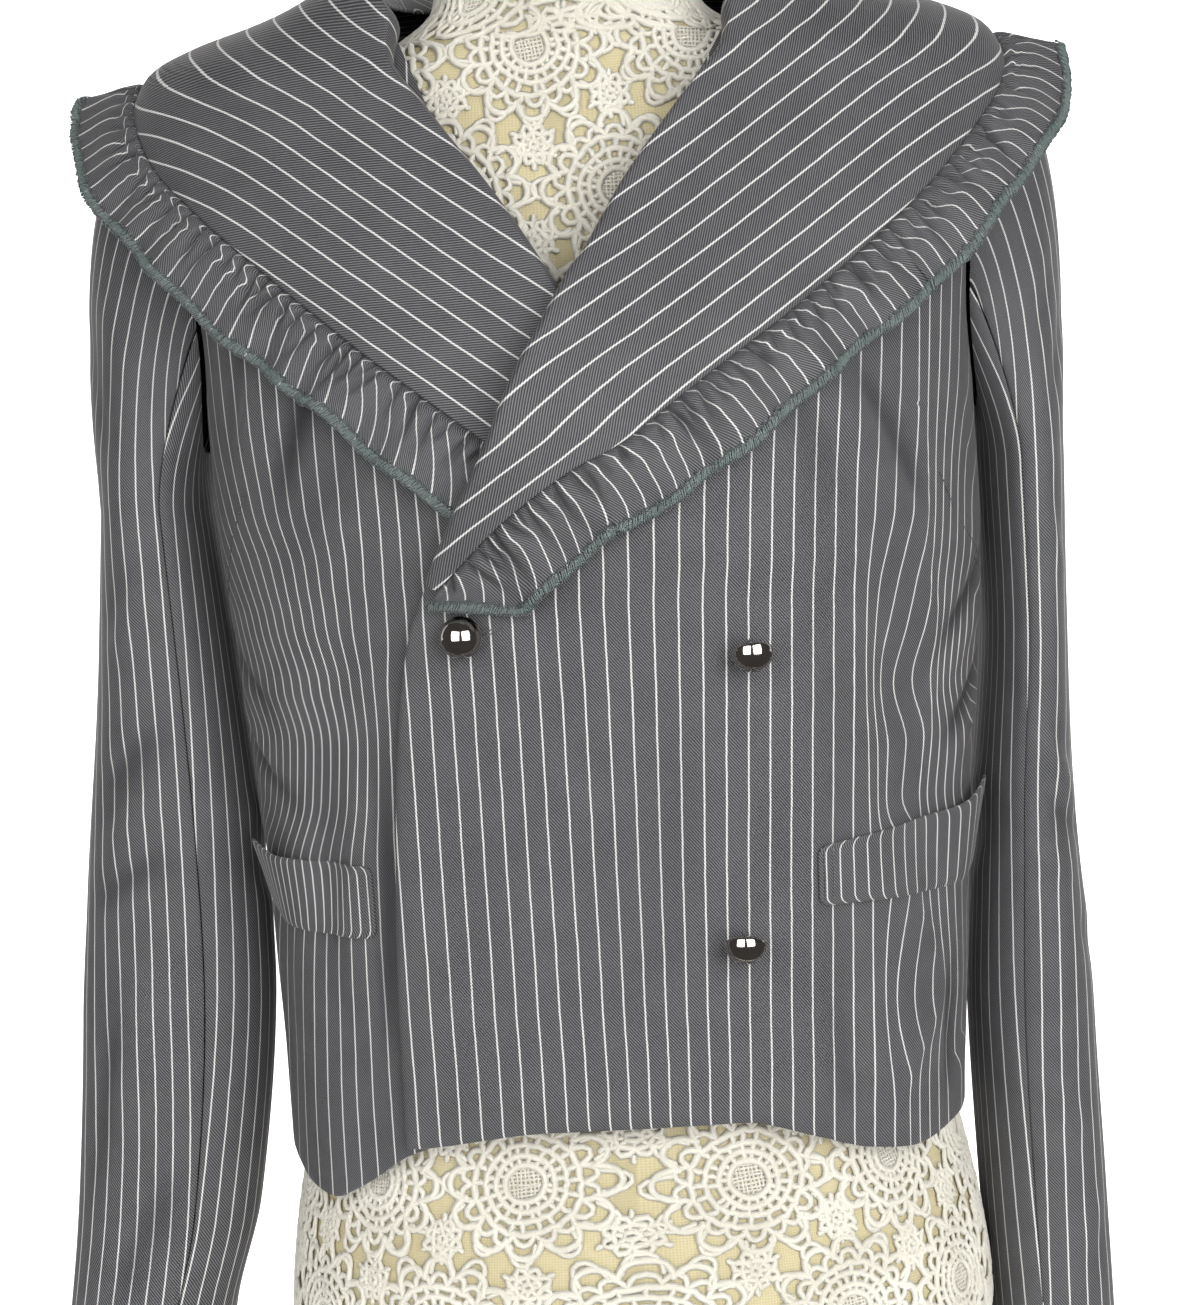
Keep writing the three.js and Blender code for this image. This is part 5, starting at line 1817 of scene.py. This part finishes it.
def soft_light(name, at, aim, size, power):
    """A soft box that faces aim."""
    data = bpy.data.lights.new(name, "AREA")
    data.shape = "RECTANGLE"
    data.size, data.size_y = size
    data.energy = power
    lamp = bpy.data.objects.new(name, data)
    lamp.location = at
    lamp.rotation_mode = "QUATERNION"
    lamp.rotation_quaternion = (Vector(aim) - Vector(at)).to_track_quat("-Z", "Y")
    bpy.context.scene.collection.objects.link(lamp)
    return lamp


def lights():
    """Two windows beside the camera, and three weaker lights that the buttons don't mirror."""
    look = bpy.context.scene.blazer_stage
    aim = (0, 0, 0.4)
    soft_light("window_right", (0.62, -1.25, 0.66), aim, (1.0, 1.15), look.key_power)
    soft_light("window_left", (-0.62, -1.25, 0.66), aim, (1.0, 1.15), look.fill_power)
    others = [
        soft_light("ceiling", (0.3, -0.5, 2.6), aim, (0.8, 0.6), look.front_power),
        soft_light("back_left", (-1.8, 1.5, 1.3), aim, (1.2, 1.2), look.back_power),
        soft_light("back_right", (1.8, 1.5, 1.2), aim, (1.2, 1.2), look.back_power),
    ]
    for lamp in others:
        lamp.visible_glossy = False


def surroundings():
    """A pale room."""
    look = bpy.context.scene.blazer_stage
    world = bpy.data.worlds.new("studio")
    world.use_nodes = True
    graph = Graph(world.node_tree)
    shade = graph.made("ShaderNodeBackground", {"Color": (1, 0.95, 0.9, 1), "Strength": look.room_light})
    graph.add("ShaderNodeOutputWorld", {"Surface": shade})
    bpy.context.scene.world = world
    bpy.context.scene.view_settings.view_transform = "Standard"
    bpy.context.scene.view_settings.exposure = look.exposure


# ---- settings ----
def number(text, value, **more):
    return FloatProperty(name=text, description=text, default=value, **more)


def size(text, value):
    return number(text, value, unit="LENGTH", precision=4)


def tilt(text, degrees):
    return number(text, math.radians(degrees), subtype="ANGLE")


def count(text, value, least):
    return IntProperty(name=text, description=text, default=value, min=least)


def shade(text, values):
    return FloatVectorProperty(
        name=text, description=text, default=values, subtype="COLOR", size=3, min=0, max=1
    )


class ClothSettings(bpy.types.PropertyGroup):
    thickness: size("Thickness of the panels", 0.0014)
    collar_thickness: size("Thickness of the collar", 0.002)
    frill_thickness: size("Thickness of the frill", 0.0012)
    stripe_pitch: size("Distance between stripes", 0.0099)
    stripe_width: size("Width of a stripe", 0.00084)
    rib_pitch: size("Distance between twill ribs", 0.00105)
    # The colour between the ribs is partly the twill's yarn and partly painted shade in the valleys.
    rib_colour: shade("Top of the ribs", (0.082, 0.0815, 0.086))
    valley_yarn_and_shade: shade("Between the ribs", (0.0085, 0.0088, 0.0105))
    stripe_colour: shade("Stripe", (0.40, 0.398, 0.385))
    stripe_shade: shade("Shaded part of a stripe", (0.27, 0.268, 0.258))
    # How far the cloth is darkened in its hollows: painted shade.
    hollow_shade: number("Shade in the hollows of the cloth", 0.92)
    rows: count("Rows of a panel", 170, 20)
    columns: count("Columns of a front", 96, 10)
    collar_rows: count("Rows of the collar", 170, 20)
    frill_rows: count("Rows of the frill", 880, 40)
    frill_fullness: number("Cut length of the frill over its seam", 1.3)


class SewingSettings(bpy.types.PropertyGroup):
    wrap_pitch: size("Distance between overlock wraps", 0.00105)
    wrap_width: size("Width of the overlock", 0.0038)
    wrap_thickness: size("Wrap thread", 0.0008)
    loop_thickness: size("Loop thread", 0.00072)
    edge_colour: shade("Overlock thread", (0.078, 0.108, 0.101))
    edge_shade: shade("Shaded overlock thread", (0.038, 0.054, 0.051))
    loop_colour: shade("Loop thread", (0.013, 0.022, 0.021))
    loop_shade: shade("Shaded loop thread", (0.009, 0.016, 0.016))
    thread_colour: shade("Sewing thread", (0.035, 0.035, 0.04))
    thread_shade: shade("Shaded sewing thread", (0.012, 0.012, 0.014))


class ButtonSettings(bpy.types.PropertyGroup):
    metal_colour: shade("Metal", (0.40, 0.375, 0.36))
    metal_shade: shade("Worn metal", (0.34, 0.31, 0.29))


class FormSettings(bpy.types.PropertyGroup):
    linen_colour: shade("Linen", (0.37, 0.33, 0.205))
    linen_shade: shade("Shaded linen", (0.285, 0.245, 0.14))
    cotton_colour: shade("Crochet cotton", (0.43, 0.415, 0.36))
    cotton_shade: shade("Shaded cotton", (0.34, 0.32, 0.265))
    medallion_pitch: size("Distance between medallions", 0.078)
    strand_step: size("Step along a strand", 0.0025)
    strand_size: number("Scale of the strands", 1.65)
    proud: size("Height of the lace over the linen", 0.0003)
    rows: count("Rows of the form", 190, 20)
    columns: count("Columns of the form", 150, 20)


class StageSettings(bpy.types.PropertyGroup):
    camera_aim: FloatVectorProperty(
        name="Aim", description="Point that the camera aims at", default=(-0.002, -0.125, 0.411),
        unit="LENGTH", size=3,
    )
    camera_distance: size("Camera distance", 1.06)
    camera_lens: number("Focal length in millimetres", 67.26)
    camera_pitch: tilt("Downward tilt", 6)
    camera_roll: tilt("Sideways tilt", -3.5)
    key_power: number("Right window in watts", 34)
    fill_power: number("Left window in watts", 20)
    front_power: number("Ceiling light in watts", 10)
    back_power: number("Back lights in watts", 10)
    room_light: number("Strength of the room's light", 0.1)
    backdrop_glow: number("Glow of the backdrop", 0.85)
    exposure: number("Exposure in stops", 0.0)


# ---- operators ----
class BLAZER_OT_camera(bpy.types.Operator):
    """Add the camera"""

    bl_idname = "blazer.camera"
    bl_label = "Camera"

    def execute(self, context):
        camera()
        return {"FINISHED"}


class BLAZER_OT_fronts(bpy.types.Operator):
    """Build both fronts"""

    bl_idname = "blazer.fronts"
    bl_label = "Fronts"

    def execute(self, context):
        front("left_front", LEFT_FRONT_EDGE, LEFT_HEM, 1, overlap_lift, left_stripe_shift, edge_lift=3.4)
        front("right_front", RIGHT_FRONT_EDGE, RIGHT_HEM, -1, no_lift, right_stripe_shift, edge_lift=0)
        return {"FINISHED"}


class BLAZER_OT_back(bpy.types.Operator):
    """Build the back"""

    bl_idname = "blazer.back"
    bl_label = "Back"

    def execute(self, context):
        back()
        return {"FINISHED"}


class BLAZER_OT_sleeves(bpy.types.Operator):
    """Build both sleeves, each of a top and an under piece"""

    bl_idname = "blazer.sleeves"
    bl_label = "Sleeves"

    def execute(self, context):
        top, under = TOP_SLEEVE_TURN - 0.25, TOP_SLEEVE_TURN + 0.25
        left, right = (LEFT_SLEEVE, LEFT_SLEEVE_CREASES), (RIGHT_SLEEVE, RIGHT_SLEEVE_CREASES)
        sleeve_piece("left_top_sleeve", *left, -top, top, columns=66, side=1, closer=1.08)
        sleeve_piece("left_under_sleeve", *left, under, 360 - under, columns=36, side=1, closer=1.08)
        sleeve_piece("right_top_sleeve", *right, -top, top, columns=66, side=-1, closer=1.2)
        sleeve_piece("right_under_sleeve", *right, under, 360 - under, columns=36, side=-1, closer=1.2)
        return {"FINISHED"}


class BLAZER_OT_collar(bpy.types.Operator):
    """Build both halves of the shawl collar"""

    bl_idname = "blazer.collar"
    bl_label = "Collar"

    def execute(self, context):
        collar_half("left_collar", LEFT_COLLAR_FRONT, 1, overlap_lift, stripe_angle=35, bend=-0.0018)
        collar_half("right_collar", RIGHT_COLLAR_FRONT, -1, no_lift, stripe_angle=37, bend=-0.0045)
        return {"FINISHED"}


class BLAZER_OT_frills(bpy.types.Operator):
    """Build both frills with their overlocked edges"""

    bl_idname = "blazer.frills"
    bl_label = "Frills"

    def execute(self, context):
        frill_half("left_frill", LEFT_COLLAR_FRONT, 1, overlap_lift,
                   growth=13, folds=LEFT_FRILL_FOLDS, seed=5, lean=0.45, bow=-0.0105)
        frill_half("right_frill", RIGHT_COLLAR_FRONT, -1, no_lift,
                   growth=30, folds=RIGHT_FRILL_FOLDS, seed=9, lean=0.05, bow=0.009)
        return {"FINISHED"}


class BLAZER_OT_pockets(bpy.types.Operator):
    """Build both pocket welts"""

    bl_idname = "blazer.pockets"
    bl_label = "Pockets"

    def execute(self, context):
        welt("left_welt", LEFT_WELT, 1, overlap_lift, closer=1.35)
        welt("right_welt", RIGHT_WELT, -1, no_lift, closer=2.1)
        return {"FINISHED"}


class BLAZER_OT_buttons(bpy.types.Operator):
    """Build the three buttons and their thread"""

    bl_idname = "blazer.buttons"
    bl_label = "Buttons"

    def execute(self, context):
        for row in BUTTONS:
            button(row)
        return {"FINISHED"}


class BLAZER_OT_stitches(bpy.types.Operator):
    """Sew the darts and the buttonhole"""

    bl_idname = "blazer.stitches"
    bl_label = "Stitches"

    def execute(self, context):
        darts()
        buttonhole()
        return {"FINISHED"}


class BLAZER_OT_form(bpy.types.Operator):
    """Build the dress form and its crochet lace"""

    bl_idname = "blazer.form"
    bl_label = "Dress form"

    def execute(self, context):
        form_body()
        skirt_lace("skirt_lace_front", -90, 90, seed=11)
        skirt_lace("skirt_lace_back", 90, 270, seed=23)
        front_lace()
        neck_lace()
        return {"FINISHED"}


class BLAZER_OT_stage(bpy.types.Operator):
    """Add the backdrop and the lights"""

    bl_idname = "blazer.stage"
    bl_label = "Stage"

    def execute(self, context):
        backdrop()
        lights()
        surroundings()
        return {"FINISHED"}


OPERATORS = (
    BLAZER_OT_camera, BLAZER_OT_fronts, BLAZER_OT_back, BLAZER_OT_sleeves, BLAZER_OT_collar,
    BLAZER_OT_frills, BLAZER_OT_pockets, BLAZER_OT_buttons, BLAZER_OT_stitches, BLAZER_OT_form,
    BLAZER_OT_stage,
)
SETTINGS = {
    "blazer_cloth": ClothSettings,
    "blazer_sewing": SewingSettings,
    "blazer_buttons": ButtonSettings,
    "blazer_form": FormSettings,
    "blazer_stage": StageSettings,
}


class BLAZER_PT_panel(bpy.types.Panel):
    """Builds the blazer piece by piece"""

    bl_idname = "BLAZER_PT_panel"
    bl_label = "Blazer"
    bl_space_type = "VIEW_3D"
    bl_region_type = "UI"
    bl_category = "Blazer"

    def draw(self, context):
        for operator in OPERATORS:
            self.layout.operator(operator.bl_idname)
        for key in SETTINGS:
            box = self.layout.box()
            group = getattr(context.scene, key)
            for name in group.bl_rna.properties.keys():
                if name not in ("rna_type", "name"):
                    box.prop(group, name)


def register():
    for item in (*SETTINGS.values(), *OPERATORS, BLAZER_PT_panel):
        bpy.utils.register_class(item)
    for key, group in SETTINGS.items():
        setattr(bpy.types.Scene, key, PointerProperty(type=group))


def unregister():
    for key in SETTINGS:
        delattr(bpy.types.Scene, key)
    for item in reversed((*SETTINGS.values(), *OPERATORS, BLAZER_PT_panel)):
        bpy.utils.unregister_class(item)


def main():
    register()
    bpy.ops.blazer.camera()
    bpy.ops.blazer.fronts()
    bpy.ops.blazer.back()
    bpy.ops.blazer.sleeves()
    bpy.ops.blazer.collar()
    bpy.ops.blazer.frills()
    bpy.ops.blazer.pockets()
    bpy.ops.blazer.buttons()
    bpy.ops.blazer.stitches()
    bpy.ops.blazer.form()
    bpy.ops.blazer.stage()


if __name__ == "__main__":
    main()
